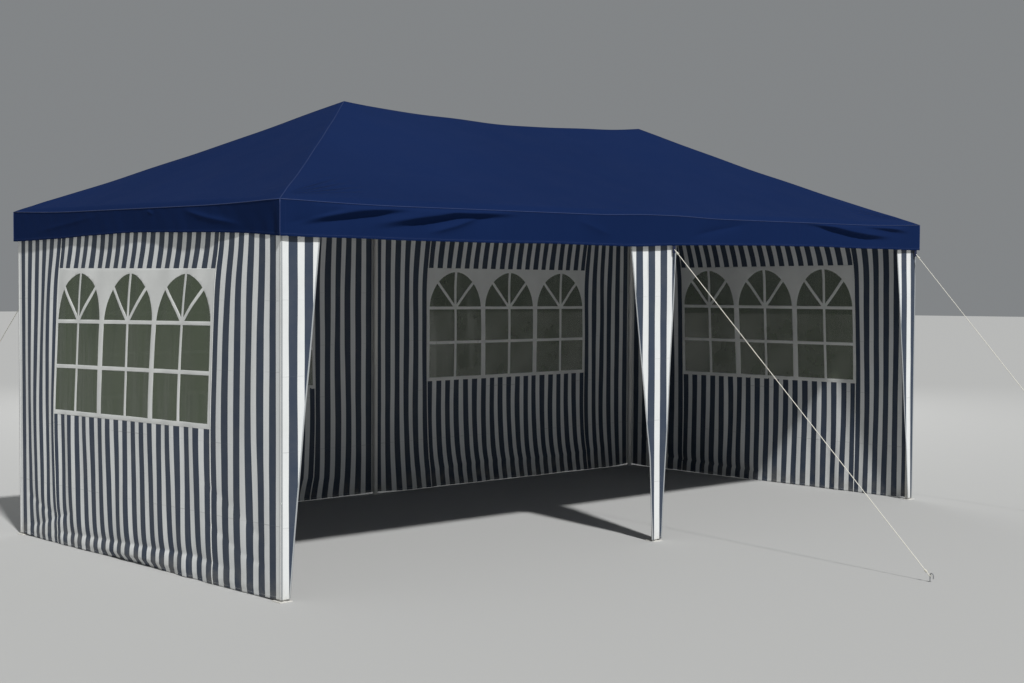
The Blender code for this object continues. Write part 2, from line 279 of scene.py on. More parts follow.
def blend_colour(tree, factor, first, second, how="MIX"):
    made = add_node(tree, "Mix", {0: factor, 6: first, 7: second}, data_type="RGBA", blend_type=how)
    return made.outputs[2]


def shaded(tree, colour, shade):
    return blend_colour(tree, 1.0, colour, shade, "MULTIPLY")


def bump(tree, height, distance, strength=1.0, normal=None):
    inputs = {"Height": height, "Distance": distance, "Strength": strength}
    if normal is not None:
        inputs["Normal"] = normal
    return add_node(tree, "Bump", inputs).outputs[0]


def make_group(name, place, numbers, outputs):
    """An empty node group: a vector input named place, number inputs with their values, and outputs."""
    group = bpy.data.node_groups.new(name, "ShaderNodeTree")
    group.interface.new_socket(place, in_out="INPUT", socket_type="NodeSocketVector")
    for label, value in numbers.items():
        socket = group.interface.new_socket(label, in_out="INPUT", socket_type="NodeSocketFloat")
        socket.default_value = value
    for label in outputs:
        group.interface.new_socket(label, in_out="OUTPUT", socket_type="NodeSocketFloat")
    source = group.nodes.new("NodeGroupInput")
    result = group.nodes.new("NodeGroupOutput")
    return group, source.outputs, result.inputs


def use_group(tree, group, inputs):
    made = tree.nodes.new("ShaderNodeGroup")
    made.node_tree = group
    for key, value in inputs.items():
        feed(tree, made.inputs[key], value)
    return made.outputs


def weave_group():
    """Flat plastic tapes that cross over and under, from a pattern in metres."""
    group, given, result = make_group("tape_weave", "Cloth", {"Tape": 0.0024}, ["Height", "Shade"])
    turns = maths(group, "DIVIDE", math.pi, given["Tape"])
    parts = axes(group, given["Cloth"])
    across = maths(group, "SINE", times(group, parts[0], turns))
    along = maths(group, "SINE", times(group, parts[1], turns))
    crossed = times(group, across, along)
    height = maths(group, "ABSOLUTE", crossed)
    feed(group, result["Height"], maths(group, "POWER", height, 0.4))
    feed(group, result["Shade"], spread(group, crossed, -1.0, 1.0, 0.94, 1.06))
    return group


def crease_group():
    """Faint lines where the cloth lay folded in its bag. Besides their bumps, they carry painted shade on
    white cloth and a painted highlight on navy cloth.
    """
    sizes = {"Width": 0.41, "Height": 0.41, "Line": 0.004}
    group, given, result = make_group("packing_creases", "Cloth", sizes, ["Mask"])
    soft = cloud(group, given["Cloth"], 1.3, detail=1.0)
    parts = axes(group, given["Cloth"])
    lines = []
    for part, pitch in ((parts[0], "Width"), (parts[1], "Height")):
        moved = maths(group, "ADD", part, times(group, soft, 0.02))
        nearest = maths(group, "PINGPONG", moved, times(group, given[pitch], 0.5))
        lines.append(spread(group, maths(group, "DIVIDE", nearest, given["Line"]), 0.0, 1.0, 1.0, 0.0))
    both = maths(group, "MAXIMUM", lines[0], lines[1])
    patchy = spread(group, cloud(group, given["Cloth"], 2.1, detail=2.0), 0.45, 0.65)
    feed(group, result["Mask"], times(group, both, patchy))
    return group


def dust_group():
    """Soft blotches of dust, thicker towards a low edge."""
    group, given, result = make_group("dust", "Place", {"Amount": 0.3, "Low Edge": 0.12}, ["Mask"])
    height = axes(group, given["Place"])[2]
    low = spread(group, maths(group, "DIVIDE", height, given["Low Edge"]), 0.0, 1.0, 1.0, 0.12)
    blotch = spread(group, cloud(group, given["Place"], 9.0, detail=6.0, roughness=0.65), 0.4, 0.75)
    feed(group, result["Mask"], times(group, times(group, low, blotch), given["Amount"]))
    return group


def stitch_group():
    """A row of stitches at one height of the cloth's pattern."""
    sizes = {"Row": 0.01, "Pitch": 0.006, "Thread": 0.0006}
    group, given, result = make_group("stitches", "Cloth", sizes, ["Mask"])
    parts = axes(group, given["Cloth"])
    off = maths(group, "ABSOLUTE", maths(group, "SUBTRACT", parts[1], given["Row"]))
    line = spread(group, maths(group, "DIVIDE", off, given["Thread"]), 0.7, 1.0, 1.0, 0.0)
    beat = maths(group, "FRACT", maths(group, "DIVIDE", parts[0], given["Pitch"]))
    dash = maths(group, "LESS_THAN", beat, 0.66)
    feed(group, result["Mask"], times(group, line, dash))
    return group


def gather_group():
    """Fine wrinkles that fan out from each roof corner, between two turns off the long eaves."""
    sizes = {"Pitch": 0.105, "First": 0.12, "Last": 0.56}
    group, given, result = make_group("corner_gathers", "Place", sizes, ["Height"])
    parts = axes(group, given["Place"])
    in_x = maths(group, "SUBTRACT", HALF_LENGTH, maths(group, "ABSOLUTE", parts[0]))
    in_y = maths(group, "SUBTRACT", HALF_WIDTH, maths(group, "ABSOLUTE", parts[1]))
    squares = maths(group, "ADD", maths(group, "POWER", in_x, 2.0), maths(group, "POWER", in_y, 2.0))
    reach = maths(group, "SQRT", squares)
    turn = maths(group, "ARCTAN2", in_y, in_x)
    uneven = times(group, cloud(group, given["Place"], 3.5, detail=1.0), 0.9)
    even = times(group, maths(group, "DIVIDE", turn, given["Pitch"]), 2 * math.pi)
    wave = times(group, maths(group, "SINE", maths(group, "ADD", even, uneven)), reach)
    opened = spread(group, turn, given["First"], maths(group, "ADD", given["First"], 0.06))
    closed = spread(group, turn, given["Last"], maths(group, "SUBTRACT", given["Last"], 0.08))
    far = spread(group, reach, 0.35, 0.7, 1.0, 0.0)
    near = spread(group, reach, 0.04, 0.12)
    held = times(group, times(group, opened, closed), times(group, far, near))
    feed(group, result["Height"], times(group, wave, held))
    return group


WEAVE = weave_group()
GATHERS = gather_group()
CREASES = crease_group()
DUST = dust_group()
STITCHES = stitch_group()


# Materials
WHITE_CLOTH = (0.80, 0.815, 0.81, 1.0)
SLATE = (0.046, 0.062, 0.094, 1.0)
# Dark grey laid into the white cloth along the crease lines: painted shade in the creases
WHITE_CREASE_SHADE = (0.10, 0.12, 0.14, 1.0)
WHITE_THREAD = (0.55, 0.56, 0.56, 1.0)
NAVY_PLAIN = (0.0064, 0.0172, 0.0665, 1.0)
NAVY_FADED = (0.0073, 0.0190, 0.0725, 1.0)
# Paler navy laid along the crease lines: a painted highlight on the creases
NAVY_CREASE_HIGHLIGHT = (0.016, 0.032, 0.11, 1.0)
NAVY_THREAD = (0.05, 0.065, 0.14, 1.0)
DUST_COLOUR = (0.36, 0.33, 0.26, 1.0)
# Dark green film tint: painted shade of dark greenery seen through the film
FILM_SHADE_TINT = (0.095, 0.12, 0.075, 1.0)
STEEL_WHITE = (0.80, 0.79, 0.755, 1.0)
STEEL_SCUFF = (0.42, 0.41, 0.38, 1.0)
# Rope: the first colour is painted shade for the grooves, the second the strands' own colour
ROPE_GROOVE_SHADE_COLOURS = (0.62, 0.60, 0.52, 1.0), (0.80, 0.78, 0.70, 1.0)
ZINC_COLOURS = (0.33, 0.34, 0.35, 1.0), (0.55, 0.56, 0.57, 1.0)
# Webbing: the first colour is painted shade for the troughs, the second the ribs' own colour
WEBBING_RIB_SHADE_COLOURS = (0.006, 0.009, 0.03, 1.0), (0.018, 0.026, 0.08, 1.0)


def start_material(name, roughness, specular=0.5, metallic=0.0):
    material = bpy.data.materials.new(name)
    material.use_nodes = True
    shader = material.node_tree.nodes["Principled BSDF"]
    shader.inputs["Roughness"].default_value = roughness
    shader.inputs["Specular IOR Level"].default_value = specular
    shader.inputs["Metallic"].default_value = metallic
    return material, material.node_tree, shader.inputs


def cloth_place(tree):
    return add_node(tree, "UVMap", uv_map="cloth").outputs[0]


def object_place(tree):
    return add_node(tree, "TexCoord").outputs["Object"]


def mottled(tree, place, colour, scale, detail, darkest):
    """A colour with soft patches that are up to darkest times as bright."""
    return shaded(tree, colour, spread(tree, cloud(tree, place, scale, detail), 0.3, 0.7, darkest, 1.0))


def dusted(tree, place, colour, amount, low_edge):
    dust = use_group(tree, DUST, {"Place": place, "Amount": amount, "Low Edge": low_edge})["Mask"]
    return blend_colour(tree, dust, colour, DUST_COLOUR)


def woven(tree, cloth, colour):
    return shaded(tree, colour, use_group(tree, WEAVE, {"Cloth": cloth})["Shade"])


def stitched(tree, cloth, colour, hem, thread):
    """A colour with the row of stitches that holds a hem."""
    row = hem + HEM_WIDTH - STITCH_INSET
    mask = use_group(tree, STITCHES, {"Cloth": cloth, "Row": row})["Mask"]
    return blend_colour(tree, mask, colour, thread)


def cloth_bumps(tree, cloth, creases, crumples):
    """Weave, packing creases and small crumples, one over the other."""
    crumple = cloud(tree, cloth, 7.0, detail=4.0, roughness=0.55)
    soft = bump(tree, crumple, 0.006, crumples)
    pressed = bump(tree, creases, 0.0012, 0.8, soft)
    tapes = use_group(tree, WEAVE, {"Cloth": cloth})["Height"]
    return bump(tree, tapes, 0.00025, 0.5, pressed)


def navy_material():
    material, tree, shader = start_material("navy_sheet", 0.66, specular=0.015)
    cloth = cloth_place(tree)
    place = object_place(tree)
    fade = spread(tree, cloud(tree, place, 0.55, detail=2.0), 0.35, 0.68)
    colour = woven(tree, cloth, blend_colour(tree, fade, NAVY_PLAIN, NAVY_FADED))
    creases = use_group(tree, CREASES, {"Cloth": cloth, "Width": 0.50, "Height": 0.37})["Mask"]
    # Crease lines lightened towards paler navy: painted highlight
    colour = blend_colour(tree, times(tree, creases, 0.25), colour, NAVY_CREASE_HIGHLIGHT)
    feed(tree, shader["Base Color"], stitched(tree, cloth, colour, VALANCE_HEM, NAVY_THREAD))
    rough = cloud(tree, place, 3.0, detail=3.0)
    feed(tree, shader["Roughness"], spread(tree, rough, 0.3, 0.7, 0.6, 0.7))
    gathers = use_group(tree, GATHERS, {"Place": place})["Height"]
    feed(tree, shader["Normal"], bump(tree, gathers, 0.015, 1.0, cloth_bumps(tree, cloth, creases, 0.12)))
    return material


def stripe_mask(tree, cloth):
    """0 on a slate stripe and 1 on a white one, with slightly wandering edges."""
    wander = cloud(tree, stretched(tree, cloth, (3.0, 1.2, 1.0)), 1.6, detail=2.0)
    drift = times(tree, maths(tree, "SUBTRACT", wander, 0.5), 0.010)
    moved = maths(tree, "ADD", axes(tree, cloth)[0], drift)
    beat = maths(tree, "FRACT", maths(tree, "DIVIDE", moved, 2 * STRIPE))
    off = maths(tree, "ABSOLUTE", maths(tree, "SUBTRACT", beat, 0.75))
    return spread(tree, off, 0.212, 0.230, 1.0, 0.0)


def striped_material():
    material, tree, shader = start_material("striped_sheet", 0.55, specular=0.2)
    cloth = cloth_place(tree)
    place = object_place(tree)
    colour = woven(tree, cloth, blend_colour(tree, stripe_mask(tree, cloth), SLATE, WHITE_CLOTH))
    colour = mottled(tree, place, colour, 2.3, 3.0, 0.93)
    creases = use_group(tree, CREASES, {"Cloth": cloth})["Mask"]
    # Crease lines darkened towards dark grey: painted shade
    colour = blend_colour(tree, times(tree, creases, 0.45), colour, WHITE_CREASE_SHADE)
    colour = dusted(tree, place, colour, 0.45, 0.16)
    feed(tree, shader["Base Color"], stitched(tree, cloth, colour, HEM_HEIGHT, WHITE_THREAD))
    feed(tree, shader["Roughness"], spread(tree, cloud(tree, place, 4.0), 0.3, 0.7, 0.44, 0.58))
    feed(tree, shader["Normal"], cloth_bumps(tree, cloth, creases, 0.3))
    return material


def trim_material(name, colour, dust_amount=0.3, specular=0.45):
    """Flexible coated tape: bars, piping and bindings."""
    material, tree, shader = start_material(name, 0.45, specular=specular)
    place = object_place(tree)
    plain = mottled(tree, place, (*colour, 1.0), 6.0, 4.0, 0.92)
    feed(tree, shader["Base Color"], dusted(tree, place, plain, dust_amount, 0.16))
    feed(tree, shader["Roughness"], spread(tree, cloud(tree, place, 11.0), 0.3, 0.7, 0.38, 0.52))
    feed(tree, shader["Normal"], bump(tree, cloud(tree, place, 260.0), 0.0003, 0.4))
    return material


def film_material():
    """Flexible window sheet with slow ripples and patchy cloudiness. Its dark green tint and mostly opaque
    alpha are painted shade, standing for dark greenery beyond; the real film is clear.
    """
    material, tree, shader = start_material("window_film", 0.16)
    cloth = cloth_place(tree)
    # Dark green tint: painted shade, not the clear film's own colour
    shader["Base Color"].default_value = FILM_SHADE_TINT
    # Alpha of about 0.8: a little real cloudiness, mostly painted shade that hides what lies beyond
    haze_and_painted_shade = spread(tree, cloud(tree, cloth, 3.0, detail=4.0), 0.35, 0.7, 0.76, 0.84)
    feed(tree, shader["Alpha"], haze_and_painted_shade)
    streaks = cloud(tree, stretched(tree, cloth, (9.0, 1.0, 1.0)), 1.4, detail=2.0)
    feed(tree, shader["Roughness"], spread(tree, streaks, 0.35, 0.65, 0.10, 0.24))
    feed(tree, shader["Normal"], bump(tree, streaks, 0.02, 0.5))
    return material


def steel_material():
    """White powder coat: a fine orange-peel skin with scuffs and grime at the foot."""
    material, tree, shader = start_material("white_powder_coat", 0.36)
    place = object_place(tree)
    colour = mottled(tree, place, STEEL_WHITE, 5.0, 3.0, 0.94)
    scratch = cloud(tree, stretched(tree, place, (60.0, 60.0, 4.0)), 1.0, detail=6.0, roughness=0.7)
    scuffs = spread(tree, scratch, 0.66, 0.72)
    colour = blend_colour(tree, times(tree, scuffs, 0.35), colour, STEEL_SCUFF)
    feed(tree, shader["Base Color"], dusted(tree, place, colour, 0.5, 0.12))
    feed(tree, shader["Roughness"], maths(tree, "ADD", 0.34, times(tree, scuffs, 0.25)))
    feed(tree, shader["Normal"], bump(tree, cloud(tree, place, 420.0, detail=1.0), 0.0002, 0.35))
    return material


def rope_material():
    """Braided cord: two families of strands that cross on a slant, with painted shade darkening the
    grooves between them.
    """
    material, tree, shader = start_material("braided_rope", 0.85, specular=0.25)
    parts = axes(tree, cloth_place(tree))
    strands = []
    for sign in (1.0, -1.0):
        slant = maths(tree, "ADD", parts[0], times(tree, parts[1], sign))
        strands.append(maths(tree, "SINE", times(tree, slant, 2 * math.pi / BRAID_PITCH)))
    height = maths(tree, "MAXIMUM", *strands)
    # Darker colour in the grooves between strands: painted shade
    feed(tree, shader["Base Color"], blend_colour(tree, spread(tree, height, -0.2, 1.0), *ROPE_GROOVE_SHADE_COLOURS))
    feed(tree, shader["Normal"], bump(tree, height, 0.0003, 0.5))
    return material


def galvanised_material():
    """Zinc with fine spangles."""
    material, tree, shader = start_material("galvanised_rod", 0.42, metallic=1.0)
    spangle = spread(tree, cloud(tree, object_place(tree), 180.0, detail=3.0), 0.35, 0.65)
    feed(tree, shader["Base Color"], blend_colour(tree, spangle, *ZINC_COLOURS))
    feed(tree, shader["Roughness"], spread(tree, spangle, 0.0, 1.0, 0.36, 0.52))
    feed(tree, shader["Normal"], bump(tree, spangle, 0.0002, 0.4))
    return material


def webbing_material():
    """Flat woven strap with ribs across it, with painted shade darkening the troughs between the ribs."""
    material, tree, shader = start_material("navy_webbing", 0.8, specular=0.3)
    height = axes(tree, cloth_place(tree))[1]
    rib = maths(tree, "SINE", times(tree, height, 2 * math.pi / RIB_PITCH))
    # Darker colour in the troughs between ribs: painted shade
    feed(tree, shader["Base Color"], blend_colour(tree, spread(tree, rib, -1.0, 1.0), *WEBBING_RIB_SHADE_COLOURS))
    feed(tree, shader["Normal"], bump(tree, rib, 0.0003, 0.7))
    return material


NAVY = navy_material()
STRIPED = striped_material()
WHITE_TRIM = trim_material("white_vinyl", (0.80, 0.81, 0.79))
# Piping paler than the roof cloth: the paleness is a painted highlight along the eaves and corners
NAVY_HIGHLIGHT_TRIM = trim_material("navy_piping_highlight", (0.03, 0.05, 0.14), dust_amount=0.06, specular=0.2)
# Seam tape paler than the roof cloth: a painted highlight along the hips and ridge
SEAM_HIGHLIGHT_TRIM = trim_material("navy_seam_highlight", (0.018, 0.034, 0.105), dust_amount=0.0, specular=0.06)
GREY_TRIM = trim_material("grey_binding", (0.40, 0.42, 0.43))
FILM_SHEET = film_material()
STEEL = steel_material()
ROPE = rope_material()
GALVANISED = galvanised_material()
WEBBING = webbing_material()


# Pieces
def add_piece(name, mesh, material, replaces=()):
    piece = put_object(name, mesh)
    mesh.materials.clear()
    mesh.materials.append(material)
    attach(piece, "root")
    if replaces:
        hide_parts(*replaces)
    return piece


def mesh_from(bm, name):
    mesh = bpy.data.meshes.new(name)
    bm.to_mesh(mesh)
    bm.free()
    return mesh


def remade(mesh, change):
    """A mesh after a change to its bmesh."""
    bm = bmesh.new()
    bm.from_mesh(mesh)
    change(bm)
    bmesh.ops.recalc_face_normals(bm, faces=bm.faces[:])
    bm.to_mesh(mesh)
    bm.free()
    return mesh


def take_mesh(body, name, helpers=()):
    """The mesh of an object as its modifiers or its curve make it. The object and its helpers go away."""
    bpy.context.view_layer.update()
    shaped = body.evaluated_get(bpy.context.evaluated_depsgraph_get())
    mesh = bpy.data.meshes.new_from_object(shaped)
    mesh.name = name
    for item in [body, *helpers]:
        bpy.data.objects.remove(item, do_unlink=True)
    return mesh


def joined(name, meshes):
    """One mesh from several that keep their own islands."""
    bm = bmesh.new()
    for mesh in meshes:
        bm.from_mesh(mesh)
        bpy.data.meshes.remove(mesh)
    return mesh_from(bm, name)


def thicken(piece, thickness, hem=None):
    """Give a sheet its thickness about its own middle; hem is the share that plain cloth has of it."""
    solid = piece.modifiers.new("thickness", "SOLIDIFY")
    solid.thickness = thickness
    solid.offset = 0.0
    if hem is not None:
        solid.vertex_group = "hem"
        solid.thickness_vertex_group = hem
    crisp = piece.modifiers.new("crisp_edges", "WEIGHTED_NORMAL")
    crisp.mode = "FACE_AREA"
    return piece


def stops(*spans):
    """Places of grid lines: each span is (start, end, cells)."""
    lines = [np.linspace(start, end, cells, endpoint=False) for start, end, cells in spans]
    return np.append(np.concatenate(lines), spans[-1][1])


def flat_grid(across, up):
    """A flat sheet with its grid lines at the given places along it and up it."""
    bm = bmesh.new()
    columns, rows = len(across) - 1, len(up) - 1
    bmesh.ops.create_grid(bm, x_segments=columns, y_segments=rows, size=0.5)
    for vert in bm.verts:
        column = round((vert.co.x + 0.5) * columns)
        row = round((vert.co.y + 0.5) * rows)
        vert.co = (across[column], up[row], 0.0)
    return bm


def flat_places(mesh):
    flat = np.empty(len(mesh.vertices) * 3)
    mesh.vertices.foreach_get("co", flat)
    return flat.reshape(-1, 3)


def map_cloth(mesh, pattern=None):
    """Give the flat mesh a UV map in metres. pattern turns each corner's u, its face's middle u and
    its height into the u of the cloth's pattern."""
    flat = flat_places(mesh)
    corners = np.empty(len(mesh.loops), dtype=np.int32)
    mesh.loops.foreach_get("vertex_index", corners)
    sizes = np.empty(len(mesh.polygons), dtype=np.int32)
    mesh.polygons.foreach_get("loop_total", sizes)
    centres = np.empty(len(mesh.polygons) * 3)
    mesh.polygons.foreach_get("center", centres)
    u = flat[corners, 0]
    if pattern is not None:
        u = pattern(u, np.repeat(centres.reshape(-1, 3)[:, 0], sizes), flat[corners, 1])
    layer = mesh.uv_layers.new(name="cloth")
    layer.data.foreach_set("uv", np.stack([u, flat[corners, 1]], axis=1).ravel())


def drape(mesh, place):
    """Move a flat mesh to where its cloth hangs: x is along it, y up it and z off its outer face."""
    flat = flat_places(mesh)
    mesh.vertices.foreach_set("co", place(flat[:, 0], flat[:, 1], flat[:, 2]).ravel())
    mesh.update()


def hang(mesh, place, pattern=None):
    """Map a flat mesh and drape it."""
    mesh.shade_smooth()
    map_cloth(mesh, pattern)
    drape(mesh, place)
    return mesh


def hemmed_cloth(node, bm, place, foot, material, pattern=None):
    """The cloth that stands for a node, from a flat sheet, doubled in the hem above its foot."""
    mesh = mesh_from(bm, "cloth_" + node)
    in_hem = np.nonzero(flat_places(mesh)[:, 1] < foot + HEM_WIDTH + HEM_MARK)[0]
    piece = add_piece("cloth_" + node, hang(mesh, place, pattern), material, [node])
    piece.vertex_groups.new(name="hem").add(in_hem.tolist(), 1.0, "REPLACE")
    return thicken(piece, HEM_CLOTH, CLOTH / HEM_CLOTH)


def ribbon(across, up, place, lift=0.0):
    """A narrow draped strip as a mesh."""
    bm = flat_grid(across, up)
    for vert in bm.verts:
        vert.co.z = lift
    return hang(mesh_from(bm, "ribbon"), place)


def hanging(origin, along, shape):
    """Turn places on flat cloth into places in the frame, by a shape of drift, rise and outward push."""
    outward = along.cross(UP)

    def place(u, v, lift):
        drift, rise, out = shape(u, v)
        spot = np.outer(u + drift, along) + np.outer(v + rise, UP) + np.outer(out + lift, outward)
        return spot + np.array(origin)

    return place


# Shapes of slack cloth
def ease(value):
    """0 below 0, 1 above 1 and smooth between."""
    held = np.clip(value, 0.0, 1.0)
    return held * held * (3.0 - 2.0 * held)


def fold(u, v, points, above, below, height, fade=0.25, crest=0.004):
    """Height of a fold along a line of points. Its width is above on its left side and below on its
    right, it dies away over the share fade at each end, and crest is how round its top is."""
    lengths = [math.dist(a, b) for a, b in zip(points, points[1:])]
    total = sum(lengths)
    nearest = np.full(np.shape(u), 1e9)
    signed = np.zeros(np.shape(u))
    reached = np.zeros(np.shape(u))
    start = 0.0
    for (au, av), (bu, bv), length in zip(points, points[1:], lengths):
        du, dv = (bu - au) / length, (bv - av) / length
        raw = (u - au) * du + (v - av) * dv
        along = np.clip(raw, 0.0, length)
        distance = np.hypot(u - au - along * du, v - av - along * dv)
        side = (v - av) * du - (u - au) * dv
        closer = distance < nearest
        nearest = np.where(closer, distance, nearest)
        signed = np.where(closer, side, signed)
        reached = np.where(closer, start + along, reached)
        start += length
    wide = np.where(signed > 0, above, below)
    ends = ease(reached / (fade * total)) * ease((total - reached) / (fade * total))
    return height * ends * np.exp(-(np.hypot(nearest, crest) - crest) / wide)


def ripple(u, v, pitch_u, pitch_v, seed):
    """Slow, uneven waves between about -1 and 1."""
    draw = np.random.default_rng(seed)
    total = np.zeros(np.shape(u))
    for _ in range(5):
        turn_u = 2 * math.pi / pitch_u * draw.uniform(0.5, 1.5) * draw.choice([-1, 1])
        turn_v = 2 * math.pi / pitch_v * draw.uniform(0.5, 1.5)
        total = total + np.sin(u * turn_u + v * turn_v + draw.uniform(0, 2 * math.pi))
    return total / 3.0


def curve_through(v, knots):
    """A smooth value by height, through (height, value) knots."""
    heights = np.array([height for height, _ in knots])
    values = np.array([value for _, value in knots])
    slopes = np.gradient(values, heights)
    spot = np.clip(v, heights[0], heights[-1])
    step = np.clip(np.searchsorted(heights, spot, side="right") - 1, 0, len(heights) - 2)
    span = heights[step + 1] - heights[step]
    t = (spot - heights[step]) / span
    start = (2 * t**3 - 3 * t**2 + 1) * values[step] + (t**3 - 2 * t**2 + t) * span * slopes[step]
    end = (3 * t**2 - 2 * t**3) * values[step + 1] + (t**3 - t**2) * span * slopes[step + 1]
    return start + end


# How far the walls' slack fades in: from their ends, down from their tops and up from their feet
END_CALM = 0.30
DRIFT_CALM = 0.9
FOLD_CALM = 0.08
TOP_CALM = 0.5
HEM_RISE_REACH = 0.5
HEM_WAVE_REACH = 0.3
TUCK_HALF = 0.6
TUCK_FADE = 0.5
TUCK_TOP = 0.055
TUCK_BOTTOM = 0.010

# Their waves: height, and pitch along and up
WIDE_WAVES = 0.0035, 0.55, 2.4
SMALL_WAVES = 0.004, 0.22, 1.6
HEM_WAVES = 0.0012, 0.8, 3.0


def waves(u, v, sizes, seed):
    height, pitch_u, pitch_v = sizes
    return height * ripple(u, v, pitch_u, pitch_v, seed)


def wall_shape(spec):
    """Drift along the wall, rise and outward push of a hanging wall."""
    low, high = spec["ends"]
    tuck, tuck_at = spec.get("tuck", (0.0, 0.0))
    seed = spec["seed"]

    def shape(u, v):
        inset = np.minimum(u - low, high - u)
        calm = ease(inset / END_CALM)
        slack = calm * ease((WALL_TOP - v) / TOP_CALM)
        down = np.clip((WALL_TOP - v) / (WALL_TOP - HEM_HEIGHT), 0, 1)
        drift = curve_through(v, spec["drift"]) * ease(inset / DRIFT_CALM)
        out = (spec["billow"] * np.sin(math.pi * down) + curve_through(v, spec["kick"])) * calm
        out = out + (waves(u, v, WIDE_WAVES, seed) + waves(u, v, SMALL_WAVES, seed + 1)) * slack
        tucked = ease((TUCK_HALF - np.abs(u - tuck_at)) / TUCK_FADE) + calm / 4
        out = out - tuck * tucked * ease((TUCK_TOP - v) / (TUCK_TOP - TUCK_BOTTOM))
        for line, above, below, height in spec["folds"]:
            out = out + fold(u, v, line, above, below, height) * ease(inset / FOLD_CALM)
        rise = curve_through(v, spec["rise"]) + u * curve_through(v, spec["tilt"])
        rise = rise + spec["hem_rise"] * calm * ease(1 - v / HEM_RISE_REACH)
        rise = rise + waves(u, v, HEM_WAVES, seed + 2) * calm * ease(1 - v / HEM_WAVE_REACH)
        return drift, rise, out

    return shape


# Each wall: its middle, its direction, its two ends, knots by height, and folds as lines with their
# widths above and below and their height
WALLS = {
    "left": {
        "origin": Vector((-HALF_LENGTH - WALL_LINE, 0, 0)),
        "along": Vector((0, -1, 0)),
        "ends": (-HALF_WIDTH - SIDE_WALL_OVERHANG, HALF_WIDTH + SIDE_WALL_OVERHANG),
        "drift": [
            (0.0, -0.10), (0.5, -0.112), (0.98, -0.114), (1.19, -0.098), (1.48, -0.073), (1.78, -0.034),
            (1.95, 0.012), (2.15, 0.03),
        ],
        "rise": [(0.05, 0.0), (0.9, -0.011), (1.5, -0.014), (1.8, -0.024), (2.15, 0.0)],
        "tilt": [(0.05, 0.0), (0.9, 0.019), (1.5, 0.018), (1.8, 0.002), (2.15, 0.0)],
        "kick": [(0.02, 0.002), (0.26, 0.002), (0.5, 0.0)],
        "tuck": (0.022, 0.05),
        "billow": 0.012,
        "hem_rise": -0.009,
        "seed": 11,
        "folds": [
            ([(-1.47, 0.07), (-1.2, 0.12), (-0.94, 0.184), (-0.62, 0.25)], 0.05, 0.022, -0.008),
            (
                [(-1.2, 0.08), (-0.67, 0.098), (0.15, 0.128), (0.76, 0.147), (1.3, 0.105)],
                0.045, 0.022, -0.01,
            ),
            ([(0.8, 0.62), (1.01, 0.49), (1.14, 0.455), (1.43, 0.25)], 0.022, 0.008, -0.0035),
            ([(0.82, 0.37), (1.03, 0.29), (1.17, 0.224), (1.45, 0.15)], 0.022, 0.008, -0.0035),
            ([(-1.45, 0.32), (-1.1, 0.22), (-0.9, 0.2)], 0.03, 0.012, -0.004),
        ],
    },
    "right": {
        "origin": Vector((HALF_LENGTH + WALL_LINE, 0, 0)),
        "along": Vector((0, 1, 0)),
        "ends": (-HALF_WIDTH - SIDE_WALL_OVERHANG, HALF_WIDTH + SIDE_WALL_OVERHANG),
        "drift": [
            (0.0, -0.06), (0.88, -0.062), (1.18, -0.048), (1.49, -0.034), (1.83, -0.012), (2.1, 0.06),
        ],
        "rise": [(0.05, 0.0), (0.9, 0.004), (1.5, 0.014), (1.8, 0.024), (2.15, 0.0)],
        "tilt": [(0.05, 0.0), (0.9, -0.008), (1.5, -0.010), (1.8, -0.014), (2.15, 0.0)],
        "kick": [(0.02, 0.0), (0.4, 0.0)],
        "billow": 0.010,
        "hem_rise": -0.009,
        "seed": 23,
        "folds": [
            ([(-0.1, 0.09), (0.3, 0.095), (0.9, 0.115), (1.45, 0.15)], 0.03, 0.014, 0.012),
            ([(1.2, 0.22), (1.43, 0.30)], 0.02, 0.015, 0.006),
        ],
    },
    "back_right": {
        "origin": Vector((HALF_LENGTH / 2, HALF_WIDTH + WALL_LINE, 0)),
        "along": Vector((-1, 0, 0)),
        "ends": (-HALF_LENGTH / 2 - WALL_LINE - HALF_SOLID, HALF_LENGTH / 2),
        "drift": [(0.03, -0.028), (0.20, -0.010), (0.45, 0.0), (1.3, 0.0), (1.8, 0.0), (2.12, -0.05)],
        "rise": [(0.05, 0.0), (0.9, 0.0), (1.5, -0.007), (1.8, -0.012), (2.15, 0.0)],
        "tilt": [(0.05, 0.0), (0.9, 0.0), (1.5, 0.009), (1.8, 0.008), (2.15, 0.0)],
        "kick": [(0.03, -0.02), (0.35, 0.0), (1.0, 0.0)],
        "billow": 0.012,
        "hem_rise": -0.008,
        "seed": 37,
        "folds": [
            ([(-1.4, 0.2), (-0.6, 0.16), (0.4, 0.18), (1.3, 0.13)], 0.07, 0.04, -0.010),
        ],
    },
    "back_left": {
        "origin": Vector((-HALF_LENGTH / 2, HALF_WIDTH + WALL_LINE, 0)),
        "along": Vector((-1, 0, 0)),
        "ends": (-HALF_LENGTH / 2, HALF_LENGTH / 2 + WALL_LINE + HALF_SOLID),
        "drift": [(0.03, 0.05), (0.20, 0.015), (0.45, 0.0), (1.3, 0.0), (1.8, 0.0), (2.12, -0.03)],
        "rise": [(0.05, 0.0), (0.9, -0.004), (1.5, -0.006), (1.8, -0.010), (2.15, 0.0)],
        "tilt": [(0.05, 0.0), (0.9, 0.004), (1.5, 0.006), (1.8, 0.006), (2.15, 0.0)],
        "kick": [(0.03, 0.015), (0.3, 0.0), (1.0, 0.0)],
        "billow": 0.010,
        "hem_rise": -0.008,
        "seed": 53,
        "folds": [
            ([(-1.4, 0.16), (-0.5, 0.2), (0.6, 0.15), (1.4, 0.18)], 0.07, 0.04, -0.010),
        ],
    },
}


